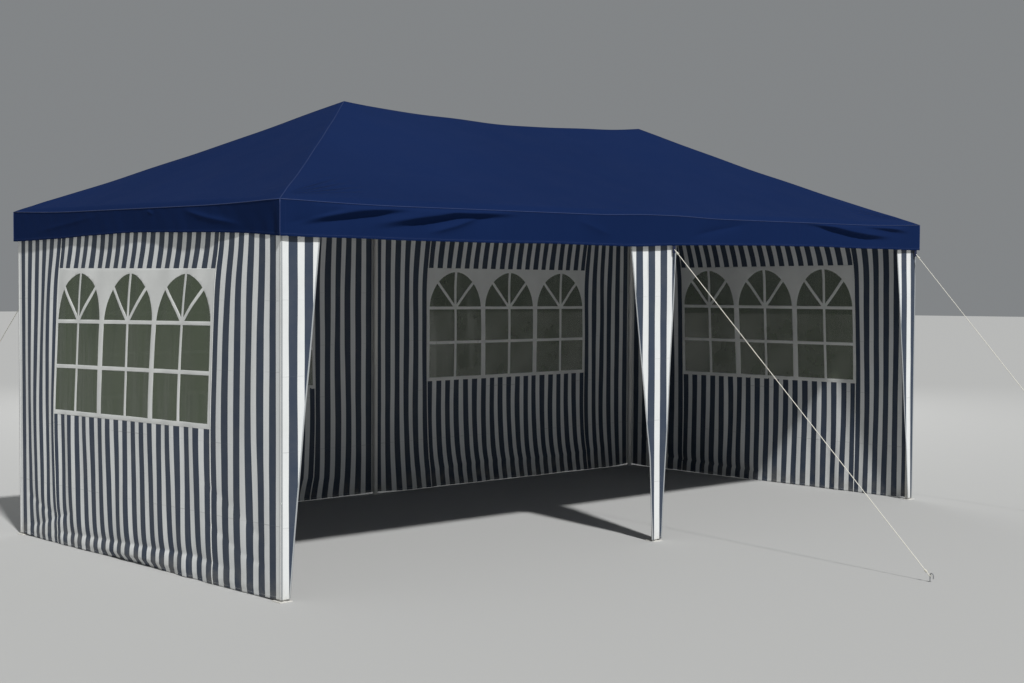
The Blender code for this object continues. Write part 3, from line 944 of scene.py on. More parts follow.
def wall_pattern(u, face_u, _):
    """Stripe place: each of a wall's three sections starts with a slate stripe at the window's edge."""
    inner = np.abs(face_u) < WINDOW_HALF
    return np.where(inner, u + WINDOW_HALF, np.abs(u) - WINDOW_HALF)


def in_window(spot):
    return abs(spot.x) < WINDOW_HALF and WINDOW_SILL < spot.y < WINDOW_HEAD


def hemmed_rows(foot, seam, *spans):
    """Heights of grid lines: two rows in the hem, a narrow one at its seam, then spans of (top, cells)."""
    tops = [(foot + HEM_WIDTH, 2), (foot + HEM_WIDTH + seam, 1), *spans]
    starts = [foot] + [top for top, _ in tops]
    return stops(*[(start, top, cells) for start, (top, cells) in zip(starts, tops)])


def wall_cloth(side, spec, place):
    low, high = spec["ends"]
    across = stops((low, -WINDOW_HALF, 28), (-WINDOW_HALF, WINDOW_HALF, 84), (WINDOW_HALF, high, 28))
    folds_top = 0.40
    spans = (folds_top, 36), (WINDOW_SILL, 20), (WINDOW_HEAD, 36), (WALL_TOP, 17)
    up = hemmed_rows(HEM_HEIGHT, WALL_SEAM, *spans)
    bm = flat_grid(across, up)
    hole = [face for face in bm.faces if in_window(face.calc_center_median())]
    bmesh.ops.delete(bm, geom=hole, context="FACES")
    return hemmed_cloth("wall_" + side, bm, place, HEM_HEIGHT, STRIPED, wall_pattern)


def arch_point(turn):
    """A point of a window's arch, from its right spring (0) to its crown (a quarter turn)."""
    power = 2 / ARCH_POWER
    return LIGHT_HALF * math.cos(turn) ** power, SPRING_HEIGHT + ARCH_RISE * math.sin(turn) ** power


def off_fan(x, y, sign):
    """Distance of a point from one edge of the slanting bar; it is 0 on the edge."""
    across = (y - SPRING_HEIGHT) * math.cos(FAN_ANGLE) - x * math.sin(FAN_ANGLE)
    return across - sign * BAR / 2


def arch_turn(sign):
    """Turn at which the arch meets an edge of the slanting bar, by halving."""
    low, high = 0.0, math.pi / 2
    for _ in range(30):
        turn = (low + high) / 2
        if off_fan(*arch_point(turn), sign) < 0:
            low = turn
        else:
            high = turn
    return low


def arch_run(start, end, steps=8):
    return [arch_point(start + (end - start) * step / steps) for step in range(steps + 1)]


def arch_panes():
    """The two right-hand panes under an arch: beside the slanting bar and above it."""
    floor = SPRING_HEIGHT + BAR / 2
    spring = math.asin((BAR / 2 / ARCH_RISE) ** (ARCH_POWER / 2))
    crown = math.acos((BAR / 2 / LIGHT_HALF) ** (ARCH_POWER / 2))
    off_bar = BAR / 2 / math.cos(FAN_ANGLE)
    lower = arch_run(spring, arch_turn(-1))
    lower.append(((floor - SPRING_HEIGHT + off_bar) / math.tan(FAN_ANGLE), floor))
    upper = arch_run(arch_turn(1), crown)
    upper.append((BAR / 2, SPRING_HEIGHT + BAR / 2 * math.tan(FAN_ANGLE) + off_bar))
    return lower, upper


def window_panes():
    """Outlines of all the clear panes of a wall's three lights."""
    lower_row = WINDOW_SILL + BORDER, TRANSOM_HEIGHT - BAR / 2
    upper_row = TRANSOM_HEIGHT + BAR / 2, SPRING_HEIGHT - BAR / 2
    outlines = []
    for light in (-1, 0, 1):
        middle_u = light * (2 * LIGHT_HALF + MULLION)
        for sign in (-1, 1):
            near, far = middle_u + sign * BAR / 2, middle_u + sign * LIGHT_HALF
            for low, high in (lower_row, upper_row):
                outlines.append([(near, low), (far, low), (far, high), (near, high)])
            for pane in arch_panes():
                outlines.append([(middle_u + sign * x, y) for x, y in pane])
    return outlines


def add_line(curve, points, closed):
    """Add a line through points to a curve."""
    line = curve.splines.new("POLY")
    line.points.add(len(points) - 1)
    for point, spot in zip(line.points, points):
        point.co = (*spot, 1.0)
    line.use_cyclic_u = closed


def filled_outline(name, outlines):
    """A flat mesh inside the first outline and outside the others."""
    curve = bpy.data.curves.new(name, "CURVE")
    curve.dimensions = "2D"
    curve.fill_mode = "BOTH"
    for outline in outlines:
        add_line(curve, [(across, up, 0.0) for across, up in outline], closed=True)
    return take_mesh(put_object(name, curve), name)


def slice_grid(bm, across, up):
    """Cut a flat mesh along lines, so that it can bend."""
    for axis, places in ((0, across), (1, up)):
        for spot in places:
            point = (spot, 0, 0) if axis == 0 else (0, spot, 0)
            normal = (1, 0, 0) if axis == 0 else (0, 1, 0)
            geometry = bm.verts[:] + bm.edges[:] + bm.faces[:]
            bmesh.ops.bisect_plane(bm, geom=geometry, plane_co=point, plane_no=normal)


def window_bars(side, place):
    """The white bars, arches and border, on both faces of the film."""
    lap = 0.006
    edge, low, high = WINDOW_HALF + lap, WINDOW_SILL - lap, WINDOW_HEAD + lap
    border = [(-edge, low), (edge, low), (edge, high), (-edge, high)]

    def cut_up(bm):
        bmesh.ops.remove_doubles(bm, verts=bm.verts[:], dist=0.0001)
        slice_grid(bm, np.linspace(-0.9, 0.9, 37), np.linspace(0.95, 1.75, 17))

    mesh = remade(filled_outline("bars_" + side, [border] + window_panes()), cut_up)
    return thicken(add_piece("bars_" + side, hang(mesh, place), WHITE_TRIM), TRIM)


def window_film(side, place):
    lap = 0.003
    across = np.linspace(-WINDOW_HALF - lap, WINDOW_HALF + lap, 61)
    up = np.linspace(WINDOW_SILL - lap, WINDOW_HEAD + lap, 31)
    mesh = hang(mesh_from(flat_grid(across, up), "film_" + side), place)
    return thicken(add_piece("film_" + side, mesh, FILM_SHEET, ["window_" + side]), FILM)


def wall_piping(side, spec, place):
    """White tapes over the seams beside the window and along the wall's two ends."""
    low, high = spec["ends"]
    seam, binding = 0.009, 0.010
    lines = [(-WINDOW_HALF, seam), (WINDOW_HALF, seam)]
    lines += [(low + binding / 2, binding), (high - binding / 2, binding)]
    up = np.linspace(HEM_HEIGHT - 0.001, WALL_TOP, 86)
    tapes = [ribbon(np.linspace(u - wide / 2, u + wide / 2, 3), up, place) for u, wide in lines]
    name = "piping_wall_" + side
    mesh = joined(name, tapes)
    return thicken(add_piece(name, mesh, WHITE_TRIM), HEM_CLOTH + TAPE_PROUD)


def build_walls():
    for side, spec in WALLS.items():
        place = hanging(spec["origin"], spec["along"], wall_shape(spec))
        cloth = wall_cloth(side, spec, place)
        trims = [window_bars(side, place), window_film(side, place), wall_piping(side, spec, place)]


# Valances
EAVE_DIP = 0.016
DIP_FADE = 0.8
DIP_AT_LEG = 0.3
LEG_HALF = 0.12
LEG_FADE = 0.5

# Where a valance's slack fades in, along from its ends and as a share of its drop, and its waves
VALANCE_CALM = 0.08
VALANCE_HELD = 0.12
VALANCE_CREASES = 0.0008, 0.12, 0.3
VALANCE_HEM_WAVES = 0.0015, 0.7, 1.0
WAVE_PITCH = 0.50


def eave_dip(u, half, mid_leg):
    """How far the edge of the cloth hangs down between the joints that hold it up."""
    dip = EAVE_DIP * np.sin(math.pi / 2 * np.clip((half - np.abs(u)) / DIP_FADE, 0, 1))
    if mid_leg:
        dip = dip * (DIP_AT_LEG + (1 - DIP_AT_LEG) * ease((np.abs(u) - LEG_HALF) / LEG_FADE))
    return dip


def valance_shape(spec):
    half, seed = spec["half"], spec["seed"]

    def shape(u, v):
        down = np.clip((VALANCE_TOP - v) / (VALANCE_TOP - VALANCE_HEM), 0, 1)
        calm = ease((half - np.abs(u)) / VALANCE_CALM)
        held = ease(down / VALANCE_HELD)
        pull = curve_through(u, spec["pull"]) + spec["wave"] * ripple(u, 0 * v, WAVE_PITCH, 1.0, seed)
        out = pull * calm * down + waves(u, v, VALANCE_CREASES, seed + 1) * calm * held
        for line, above, below, height in spec["folds"]:
            out = out + fold(u, v, line, above, below, height, fade=0.34) * held
        rise = curve_through(u, spec["lift"]) * down - eave_dip(u, half, spec["mid_leg"]) * (1 - down)
        rise = rise + waves(u, 0 * v, VALANCE_HEM_WAVES, seed + 2) * down * calm
        return np.zeros(np.shape(u)), rise, out

    return shape


VALANCES = {
    "front": {
        "origin": Vector((0, -ROOF_EDGE_Y + HALF_SOLID, 0)),
        "along": Vector((1, 0, 0)),
        "half": ROOF_EDGE_X - HALF_SOLID,
        "mid_leg": True,
        "pull": [
            (-3.05, 0.0), (-2.4, 0.006), (-1.2, 0.008), (0.0, 0.004), (1.2, 0.008), (2.4, 0.006),
            (3.05, 0.0),
        ],
        "lift": [
            (-3.05, 0.0), (-2.4, -0.008), (-1.7, -0.014), (-0.9, -0.012), (-0.35, -0.018), (0.25, -0.003),
            (0.9, 0.005), (1.6, 0.009), (2.25, 0.004), (3.05, 0.0),
        ],
        "wave": 0.003,
        "seed": 5,
        "rail": ["rail_front_left", "rail_front_right"],
        "folds": [
            ([(-3.039, 2.034), (-2.87, 2.073), (-2.71, 2.117), (-2.545, 2.16)], 0.05, 0.018, -0.014),
            (
                [(-3.02, 2.046), (-2.71, 2.102), (-2.519, 2.133), (-2.203, 2.168), (-2.08, 2.176)],
                0.06, 0.018, 0.025,
            ),
            (
                [(-3.0, 2.018), (-2.69, 2.074), (-2.49, 2.104), (-2.16, 2.142), (-2.04, 2.152)],
                0.016, 0.04, -0.017,
            ),
            (
                [(-2.48, 2.052), (-2.094, 2.109), (-1.955, 2.126), (-1.814, 2.149), (-1.25, 2.162)],
                0.06, 0.018, 0.028,
            ),
            (
                [(-2.46, 2.022), (-2.07, 2.078), (-1.93, 2.094), (-1.79, 2.117), (-1.24, 2.134)],
                0.016, 0.045, -0.018,
            ),
            ([(-2.052, 2.02), (-1.955, 2.036), (-1.813, 2.068), (-1.581, 2.136)], 0.028, 0.015, 0.016),
            ([(-0.824, 2.14), (-0.466, 2.032)], 0.03, 0.025, 0.008),
            ([(0.253, 2.029), (0.508, 2.076), (0.932, 2.148)], 0.03, 0.03, -0.009),
            (
                [(1.46, 2.19), (1.68, 2.176), (1.875, 2.146), (2.115, 2.11), (2.33, 2.09), (2.72, 2.072)],
                0.06, 0.018, 0.026,
            ),
            (
                [
                    (1.45, 2.164), (1.67, 2.147), (1.865, 2.118), (2.105, 2.082), (2.32, 2.062),
                    (2.68, 2.044),
                ],
                0.016, 0.04, -0.017,
            ),
            ([(2.08, 2.186), (2.40, 2.166), (2.62, 2.148), (2.94, 2.118)], 0.03, 0.016, 0.018),
            ([(2.10, 2.162), (2.42, 2.141), (2.64, 2.122), (2.94, 2.094)], 0.014, 0.03, -0.010),
        ],
    },
    "back": {
        "origin": Vector((0, ROOF_EDGE_Y - HALF_SOLID, 0)),
        "along": Vector((-1, 0, 0)),
        "half": ROOF_EDGE_X - HALF_SOLID,
        "mid_leg": True,
        "pull": [(-3.05, 0.0), (-2.2, 0.007), (-1.0, 0.004), (0.0, 0.006), (1.4, 0.008), (3.05, 0.0)],
        "lift": [(-3.05, 0.0), (-2.0, -0.006), (-0.8, -0.010), (0.0, -0.004), (1.3, 0.006), (3.05, 0.0)],
        "wave": 0.004,
        "seed": 15,
        "rail": ["rail_back_left", "rail_back_right"],
        "folds": [
            ([(-2.98, 2.02), (-2.6, 2.09), (-2.15, 2.16)], 0.03, 0.014, 0.010),
            ([(1.9, 2.15), (2.5, 2.08), (2.98, 2.03)], 0.03, 0.014, 0.010),
            ([(-0.5, 2.15), (-0.2, 2.08), (0.1, 2.0)], 0.03, 0.02, 0.006),
        ],
    },
    "left": {
        "origin": Vector((-ROOF_EDGE_X + HALF_SOLID, 0, 0)),
        "along": Vector((0, -1, 0)),
        "half": ROOF_EDGE_Y - HALF_SOLID,
        "mid_leg": False,
        "pull": [
            (-1.55, 0.0), (-1.2, 0.000), (-0.7, -0.001), (-0.25, 0.005), (0.15, -0.001), (0.5, 0.007),
            (0.85, 0.006), (1.08, -0.009), (1.2, -0.014), (1.4, -0.015), (1.52, -0.014), (1.55, 0.0),
        ],
        "lift": [
            (-1.55, 0.0), (-0.9, 0.012), (-0.5, 0.026), (0.08, 0.037), (0.66, 0.03), (1.2, 0.019),
            (1.55, 0.0),
        ],
        "wave": 0.0015,
        "seed": 25,
        "rail": ["rail_left"],
        "folds": [
            ([(0.55, 2.153), (0.85, 2.082), (1.18, 2.025)], 0.014, 0.03, 0.012),
            ([(0.18, 2.153), (0.26, 2.115)], 0.012, 0.012, 0.006),
            ([(-1.3, 2.02), (-0.8, 2.08), (-0.35, 2.13)], 0.025, 0.015, 0.004),
        ],
    },
    "right": {
        "origin": Vector((ROOF_EDGE_X - HALF_SOLID, 0, 0)),
        "along": Vector((0, 1, 0)),
        "half": ROOF_EDGE_Y - HALF_SOLID,
        "mid_leg": False,
        "pull": [(-1.55, 0.0), (-0.8, 0.004), (0.0, -0.003), (0.8, 0.005), (1.55, 0.0)],
        "lift": [(-1.55, 0.0), (-0.8, 0.024), (0.0, 0.032), (0.8, 0.026), (1.55, 0.0)],
        "wave": 0.003,
        "seed": 35,
        "rail": ["rail_right"],
        "folds": [
            ([(-1.45, 2.02), (-1.0, 2.08), (-0.5, 2.15)], 0.03, 0.014, 0.009),
            ([(0.6, 2.15), (1.0, 2.09), (1.45, 2.03)], 0.03, 0.014, 0.008),
        ],
    },
}
TABS = {"front": [MID_GUY_X, HALF_LENGTH], "back": [-MID_GUY_X], "left": [], "right": []}
TAB_SEWN = 0.03
TAB_INSET = 0.0026
TAB_CLOTH = 0.0022


def webbing_tab(name, u, place):
    """A strap sewn inside the hem that hangs below it."""
    up = np.linspace(VALANCE_HEM - TAB_LENGTH, VALANCE_HEM + TAB_SEWN, 13)
    across = np.linspace(u - TAB_WIDTH / 2, u + TAB_WIDTH / 2, 5)
    mesh = ribbon(across, up, place, lift=-TAB_INSET)
    return thicken(add_piece(name, mesh, WEBBING), TAB_CLOTH)


def build_valances():
    up = hemmed_rows(VALANCE_HEM, VALANCE_SEAM, (VALANCE_TOP + 2 * HALF_SOLID, 24))
    for side, spec in VALANCES.items():
        half = spec["half"]
        place = hanging(spec["origin"], spec["along"], valance_shape(spec))
        bm = flat_grid(np.linspace(-half, half, 2 * round(half / 0.012) + 1), up)
        cloth = hemmed_cloth("valance_" + side, bm, place, VALANCE_HEM, NAVY)
        tabs = [webbing_tab(f"tab_{side}_{i + 1}", u, place) for i, u in enumerate(TABS[side])]


# Roof
def roof_height(x, y):
    """Middle of the roof cloth over a point in plan, inside the rails."""
    up_front = (HALF_WIDTH - np.abs(y)) / HALF_WIDTH
    up_side = (HALF_LENGTH - np.abs(x)) / (HALF_LENGTH - PEAK_X)
    climb = np.minimum(up_front, up_side)
    belly = 4 * climb * (1 - climb)
    off_hip = 1 - climb / np.maximum(np.maximum(up_front, up_side), 0.001)
    sag = belly * (HIP_SAG + (SLOPE_SAG - HIP_SAG) * off_hip)
    ridge = RIDGE_SAG * (1 - (x / PEAK_X) ** 2) * climb**2
    sag = sag + np.where(np.abs(x) < PEAK_X, ridge, 0.0)
    return EAVE_HEIGHT - HALF_SOLID + RISE * climb - sag


# Wrinkles at the eave joints: each joint's place, and the turns and lengths of the rays that leave it
ROOF_RAYS = [
    (-HALF_LENGTH, -HALF_WIDTH, (36, 54, 68), (0.45, 0.3, 0.35)),
    (-HALF_LENGTH, HALF_WIDTH, (-14, -30, -52), (0.5, 0.4, 0.35)),
    (HALF_LENGTH, -HALF_WIDTH, (166, 150, 126), (0.6, 0.4, 0.35)),
    (HALF_LENGTH, HALF_WIDTH, (194, 212, 236), (0.5, 0.4, 0.35)),
    (0.0, -HALF_WIDTH, (25, 155), (0.35, 0.35)),
    (0.0, HALF_WIDTH, (-25, -155), (0.35, 0.35)),
]
RAY_START = 0.05
RAY_ABOVE = 0.016
RAY_BELOW = 0.024
RAY_HEIGHT = 0.004


def roof_slack(x, y):
    """Small wrinkles: rays from the corners and mid legs, and a slow unevenness between."""
    inset = np.minimum(HALF_WIDTH - np.abs(y), HALF_LENGTH - np.abs(x))
    total = 0.0035 * ripple(x, y, 0.9, 0.7, 71) * ease(inset / 0.4)
    for foot_x, foot_y, turns, reaches in ROOF_RAYS:
        for turn, reach in zip(turns, reaches):
            away_x, away_y = math.cos(math.radians(turn)), math.sin(math.radians(turn))
            line = [(foot_x + away_x * far, foot_y + away_y * far) for far in (RAY_START, reach)]
            total = total + fold(x, y, line, RAY_ABOVE, RAY_BELOW, RAY_HEIGHT, fade=0.35)
    return total


def roof_cage(bm):
    """Eight flat slopes between the six eave joints and the two peaks."""
    eaves = {place: bm.verts.new((x, y, 0)) for place, (x, y) in LEGS.items()}
    peaks = {side: bm.verts.new((x, y, 0)) for side, (x, y) in CROWNS.items()}
    for side, peak in peaks.items():
        bm.faces.new((eaves["front_" + side], eaves["back_" + side], peak))
        for row in ("front", "back"):
            bm.faces.new((eaves[f"{row}_{side}"], eaves[row + "_mid"], peak))
    for row in ("front", "back"):
        bm.faces.new((eaves[row + "_mid"], peaks["right"], peaks["left"]))


ROOF_CUTS = 63
FINE_ALONG = 0.6
FINE_ACROSS = 0.5
ON_RIM = 0.0003


def near_corner(edge):
    spot = (edge.verts[0].co + edge.verts[1].co) / 2
    return abs(abs(spot.x) - HALF_LENGTH) < FINE_ALONG and HALF_WIDTH - abs(spot.y) < FINE_ACROSS


def lap_over(bm, start, end):
    """Carry the roof's rim outwards over the rail, from one share of the lap to the next."""
    rim = [edge for edge in bm.edges if edge.is_boundary]
    lapped = bmesh.ops.extrude_edge_only(bm, edges=rim)["geom"]
    before, reach = (LAP - HALF_SOLID) * start, (LAP - HALF_SOLID) * end
    limit = before - ON_RIM
    for vert in [item for item in lapped if isinstance(item, bmesh.types.BMVert)]:
        on_end = abs(vert.co.x) > HALF_LENGTH + limit
        on_long_side = abs(vert.co.y) > HALF_WIDTH + limit
        along, half = (vert.co.x, HALF_LENGTH) if on_long_side else (vert.co.y, HALF_WIDTH)
        dip = float(eave_dip(along, half, on_long_side)) if end == 1.0 else 0.0
        if on_end:
            vert.co.x += math.copysign(reach - before, vert.co.x)
        if on_long_side:
            vert.co.y += math.copysign(reach - before, vert.co.y)
        vert.co.z = EAVE_HEIGHT - HALF_SOLID - STEEPEST * reach - dip


def build_roof():
    bm = bmesh.new()
    roof_cage(bm)
    bmesh.ops.subdivide_edges(bm, edges=bm.edges[:], cuts=ROOF_CUTS, use_grid_fill=True)
    close = [edge for edge in bm.edges if near_corner(edge)]
    bmesh.ops.subdivide_edges(bm, edges=close, cuts=1, use_grid_fill=True)
    bmesh.ops.triangulate(bm, faces=[face for face in bm.faces if len(face.verts) > 4])
    bmesh.ops.recalc_face_normals(bm, faces=bm.faces[:])
    if sum(face.normal.z for face in bm.faces) < 0:
        bmesh.ops.reverse_faces(bm, faces=bm.faces[:])
    plan = np.array([(vert.co.x, vert.co.y) for vert in bm.verts])
    heights = roof_height(plan[:, 0], plan[:, 1]) + roof_slack(plan[:, 0], plan[:, 1])
    for vert, height in zip(bm.verts, heights):
        vert.co.z = height
    lap_over(bm, 0.0, 0.5)
    lap_over(bm, 0.5, 1.0)
    mesh = mesh_from(bm, "cloth_roof")
    mesh.shade_smooth()
    map_cloth(mesh)
    return thicken(add_piece("cloth_roof", mesh, NAVY, ["roof_canopy"]), CLOTH)


def roof_band(start, end, width):
    """A narrow strip laid over a seam of the roof, folded over the crest."""
    start, end = Vector(start), Vector(end)
    run = (end - start).normalized()
    side = Vector((-run.y, run.x))
    length = (end - start).length

    def place(u, v, lift):
        x = start.x + run.x * v + side.x * u
        y = start.y + run.y * v + side.y * u
        inside = np.minimum(HALF_WIDTH - np.abs(y), HALF_LENGTH - np.abs(x))
        z = roof_height(x, y) + roof_slack(x, y)
        z = np.where(inside < 0, EAVE_HEIGHT - HALF_SOLID + STEEPEST * inside, z)
        return np.stack([x, y, z + lift], axis=1)

    across = np.linspace(-width / 2, width / 2, 7)
    up = np.linspace(0.0, length, max(8, round(length / 0.03)))
    return ribbon(across, up, place, lift=0.0009)


def build_seams():
    """Flat-felled seams along the four hips and the ridge."""
    width = 0.005
    reach = LAP - 0.004
    bands = []
    for peak_x, _ in CROWNS.values():
        sign = math.copysign(1, peak_x)
        for row in (-1, 1):
            corner = (sign * (HALF_LENGTH + reach), row * (HALF_WIDTH + reach))
            bands.append(roof_band(corner, (peak_x, 0.0), width))
    bands.append(roof_band((-PEAK_X, 0.0), (PEAK_X, 0.0), width))
    mesh = joined("seams_roof", bands)
    # The seams' paler navy is a painted highlight along the hips and ridge
    return thicken(add_piece("seams_roof", mesh, SEAM_HIGHLIGHT_TRIM), SEAM_CLOTH)


def close_up(bm):
    bmesh.ops.remove_doubles(bm, verts=bm.verts[:], dist=0.00001)


def line_tube(points, radius, closed=False):
    """A cord of eight sides along a line of points, as a mesh."""
    curve = bpy.data.curves.new("line", "CURVE")
    curve.dimensions = "3D"
    curve.bevel_depth = radius
    curve.bevel_resolution = 3
    curve.use_fill_caps = not closed
    add_line(curve, points, closed)
    mesh = remade(take_mesh(put_object("line", curve), "line"), close_up)
    mesh.shade_smooth()
    return mesh


def build_piping():
    """A welt round the eaves, where roof and valance meet, and down the four corners."""
    radius = 0.0024
    out_x, out_y = ROOF_EDGE_X - 0.0006, ROOF_EDGE_Y - 0.0006
    height = VALANCE_TOP + 0.0015
    corners = [(-out_x, -out_y), (out_x, -out_y), (out_x, out_y), (-out_x, out_y)]
    ring = []
    for start, end in zip(corners, corners[1:] + corners[:1]):
        steps = round(math.dist(start, end) / 0.1)
        long_side = start[1] == end[1]
        for step in range(steps):
            spot = Vector(start).lerp(Vector(end), step / steps)
            along, half = (spot.x, HALF_LENGTH) if long_side else (spot.y, HALF_WIDTH)
            ring.append((spot.x, spot.y, height - float(eave_dip(along, half, long_side))))
    meshes = [line_tube(ring, radius, closed=True)]
    for sign_x in (-1, 1):
        for sign_y in (-1, 1):
            heights = np.linspace(VALANCE_HEM, height, 8)
            meshes.append(line_tube([(sign_x * out_x, sign_y * out_y, z) for z in heights], radius))
    # The piping's paler navy is a painted highlight on the welt
    return add_piece("piping_eaves", joined("piping_eaves", meshes), NAVY_HIGHLIGHT_TRIM)


def build_canopy():
    """The roof, its seams and its piping, as three pieces."""
    roof = build_roof()
    trims = [build_seams(), build_piping()]


# Striped strips at the front legs
def taper(foot, knee, head):
    """Knots of height, left edge and right edge; the edges are upright above the valance's hem."""
    return [(HEM_HEIGHT, *foot), (KNEE_HEIGHT, *knee), (VALANCE_HEM, *head), (WALL_TOP, *head)]


# Each strip: its edges, its origin, and its stripes with how far they swing out at the foot
STRIPS = {
    "left": {
        "knots": taper((0.0, 0.06), (0.0, 0.11), (0.0, 0.26)),
        "outer": -CORNER,
        "pitch": 0.105,
        "phase": 0.05,
        "swing": 0.0,
        "seed": 83,
        "rail": "rail_front_left",
    },
    "mid": {
        "knots": taper((-0.05, 0.05), (-0.08, 0.08), (-0.28, 0.17)),
        "outer": 0.0,
        "pitch": 0.118,
        "phase": 0.903 * 2 * STRIPE,
        "swing": 0.012,
        "seed": 85,
        "rail": "rail_front_left",
    },
    "right": {
        "knots": taper((-0.06, 0.0), (-0.11, 0.0), (-0.26, 0.0)),
        "outer": CORNER,
        "pitch": 0.13,
        "phase": 0.53 * 2 * STRIPE,
        "swing": 0.045,
        "seed": 87,
        "rail": "rail_front_right",
    },
}


def strip_edges(knots, v):
    heights, left, right = zip(*knots)
    return np.interp(v, heights, left), np.interp(v, heights, right)


def strip_shape(spec, leg_u):
    """Slack of a strip that is calm where it lies against its leg."""

    def shape(u, v):
        slack = ease((VALANCE_HEM - v) / 0.4) * ease((v - HEM_HEIGHT) / 0.05 + 0.4)
        off_leg = ease((np.abs(u - leg_u) - 0.02) / 0.05)
        out = 0.003 * slack * ripple(u, v, 0.16, 1.5, spec["seed"]) * off_leg + 0.002 * slack
        return np.zeros(np.shape(u)), np.zeros(np.shape(u)), out

    return shape


def strip_pattern(spec):
    """Stripe place on a strip, whose stripes swing out towards its foot."""

    def pattern(u, _, v):
        hung = u - spec["swing"] * (1 - v / WALL_TOP)
        return hung * 2 * STRIPE / spec["pitch"] + spec["phase"]

    return pattern


def grid_between(edges, columns, up):
    """A flat sheet whose two edges are given by height."""
    bm = flat_grid(np.linspace(0, 1, columns + 1), up)
    for vert in bm.verts:
        start, end = edges(vert.co.y)
        vert.co.x = start + (end - start) * vert.co.x
    return bm


def strip_edging(side, spec, place):
    """A binding along each long edge of a strip."""
    wide = 0.009
    up = np.linspace(HEM_HEIGHT, WALL_TOP, 90)

    def left_edge(v):
        left, _ = strip_edges(spec["knots"], v)
        return left, left + wide

    def right_edge(v):
        _, right = strip_edges(spec["knots"], v)
        return right, right - wide

    grids = [grid_between(edge, 2, up) for edge in (left_edge, right_edge)]
    name = "edging_strip_" + side
    mesh = joined(name, [hang(mesh_from(bm, "edging"), place) for bm in grids])
    return thicken(add_piece(name, mesh, GREY_TRIM), BINDING_CLOTH)


def build_strips():
    up = hemmed_rows(HEM_HEIGHT, WALL_SEAM, (WALL_TOP, 90))
    for side, spec in STRIPS.items():
        knots = spec["knots"]
        leg_x, _ = LEGS["front_" + side]
        origin = Vector((spec["outer"], -HALF_WIDTH - WALL_LINE, 0))
        place = hanging(origin, Vector((1, 0, 0)), strip_shape(spec, leg_x - spec["outer"]))
        bm = grid_between(lambda v: strip_edges(knots, v), 24, up)
        pattern = strip_pattern(spec)
        cloth = hemmed_cloth("strip_" + side, bm, place, HEM_HEIGHT, STRIPED, pattern)
        trims = [strip_edging(side, spec, place)]


# Frame
def lay_along(bm, start, end):
    """Turn and move what stands upright about the origin, so that it runs from start to end."""
    turn = (end - start).to_track_quat("Z", "Y").to_matrix().to_4x4()
    bmesh.ops.transform(bm, matrix=Matrix.Translation((start + end) / 2) @ turn, verts=bm.verts)
    return bm


def upright_bar(radius, length, sides):
    bm = bmesh.new()
    bmesh.ops.create_cone(bm, cap_ends=True, segments=sides, radius1=radius, radius2=radius, depth=length)
    return bm


def bevel(bm, edges, offset, segments):
    bmesh.ops.bevel(
        bm, geom=edges, offset=offset, segments=segments, affect="EDGES", profile=0.5, material=-1
    )


def turned_bar(start, end, radius, sides=40, rim=0.001):
    """A round bar between two points, with its end edges rounded."""
    bm = upright_bar(radius, (end - start).length, sides)
    bevel(bm, [edge for edge in bm.edges if any(len(face.verts) > 4 for face in edge.link_faces)], rim, 2)
    return lay_along(bm, start, end)


def edged(mesh):
    """Shade a mesh smooth, but for its sharp edges."""
    mesh.shade_smooth()
    mesh.set_sharp_from_angle(angle=math.radians(35))
    return mesh


def joined_by(kind, body, others, name):
    """The mesh of a body after a union with other objects, or with them cut away."""
    for other in others:
        step = body.modifiers.new("join", "BOOLEAN")
        step.operation = kind
        step.object = other
    return take_mesh(body, name, others)


def fuse(name, parts):
    """Join overlapping solids into one skin."""
    body, *others = [put_object("part", mesh_from(bm, "part")) for bm in parts]
    return edged(joined_by("UNION", body, others, name))


def dome(centre, radius):
    bm = bmesh.new()
    bmesh.ops.create_uvsphere(bm, u_segments=24, v_segments=12, radius=radius)
    bmesh.ops.translate(bm, vec=centre, verts=bm.verts)
    return bm


def foot_plate():
    """A square plate with rounded corners and two peg holes, under the end of a pole."""
    corner_radius, hole_radius, hole_place = 0.007, 0.0048, 0.029
    bm = bmesh.new()
    bmesh.ops.create_cube(bm, size=1.0)
    bmesh.ops.scale(bm, vec=(PLATE_SIDE, PLATE_SIDE, PLATE_THICKNESS), verts=bm.verts)
    bmesh.ops.translate(bm, vec=(0, 0, PLATE_THICKNESS / 2), verts=bm.verts)
    upright = [edge for edge in bm.edges if abs(edge.verts[0].co.z - edge.verts[1].co.z) > 0.001]
    bevel(bm, upright, corner_radius, 5)
    plate = put_object("plate", mesh_from(bm, "plate"))
    cutters = []
    for sign in (-1, 1):
        spot = Vector((sign * hole_place, sign * hole_place, 0))
        rod = turned_bar(spot - UP * 0.01, spot + UP * 0.02, hole_radius, 20)
        cutters.append(put_object("hole", mesh_from(rod, "hole")))
    mesh = joined_by("DIFFERENCE", plate, cutters, "plate")
    whole = bmesh.new()
    whole.from_mesh(mesh)
    bpy.data.meshes.remove(mesh)
    return whole


def weld_bead():
    """The ring of weld between plate and pole."""
    bm = bmesh.new()
    wide, narrow, high = LEG_RADIUS + 0.004, LEG_RADIUS - 0.001, 0.0045
    bmesh.ops.create_cone(bm, cap_ends=True, segments=40, radius1=wide, radius2=narrow, depth=high)
    bmesh.ops.translate(bm, vec=(0, 0, PLATE_THICKNESS - 0.0005 + high / 2), verts=bm.verts)
    return bm


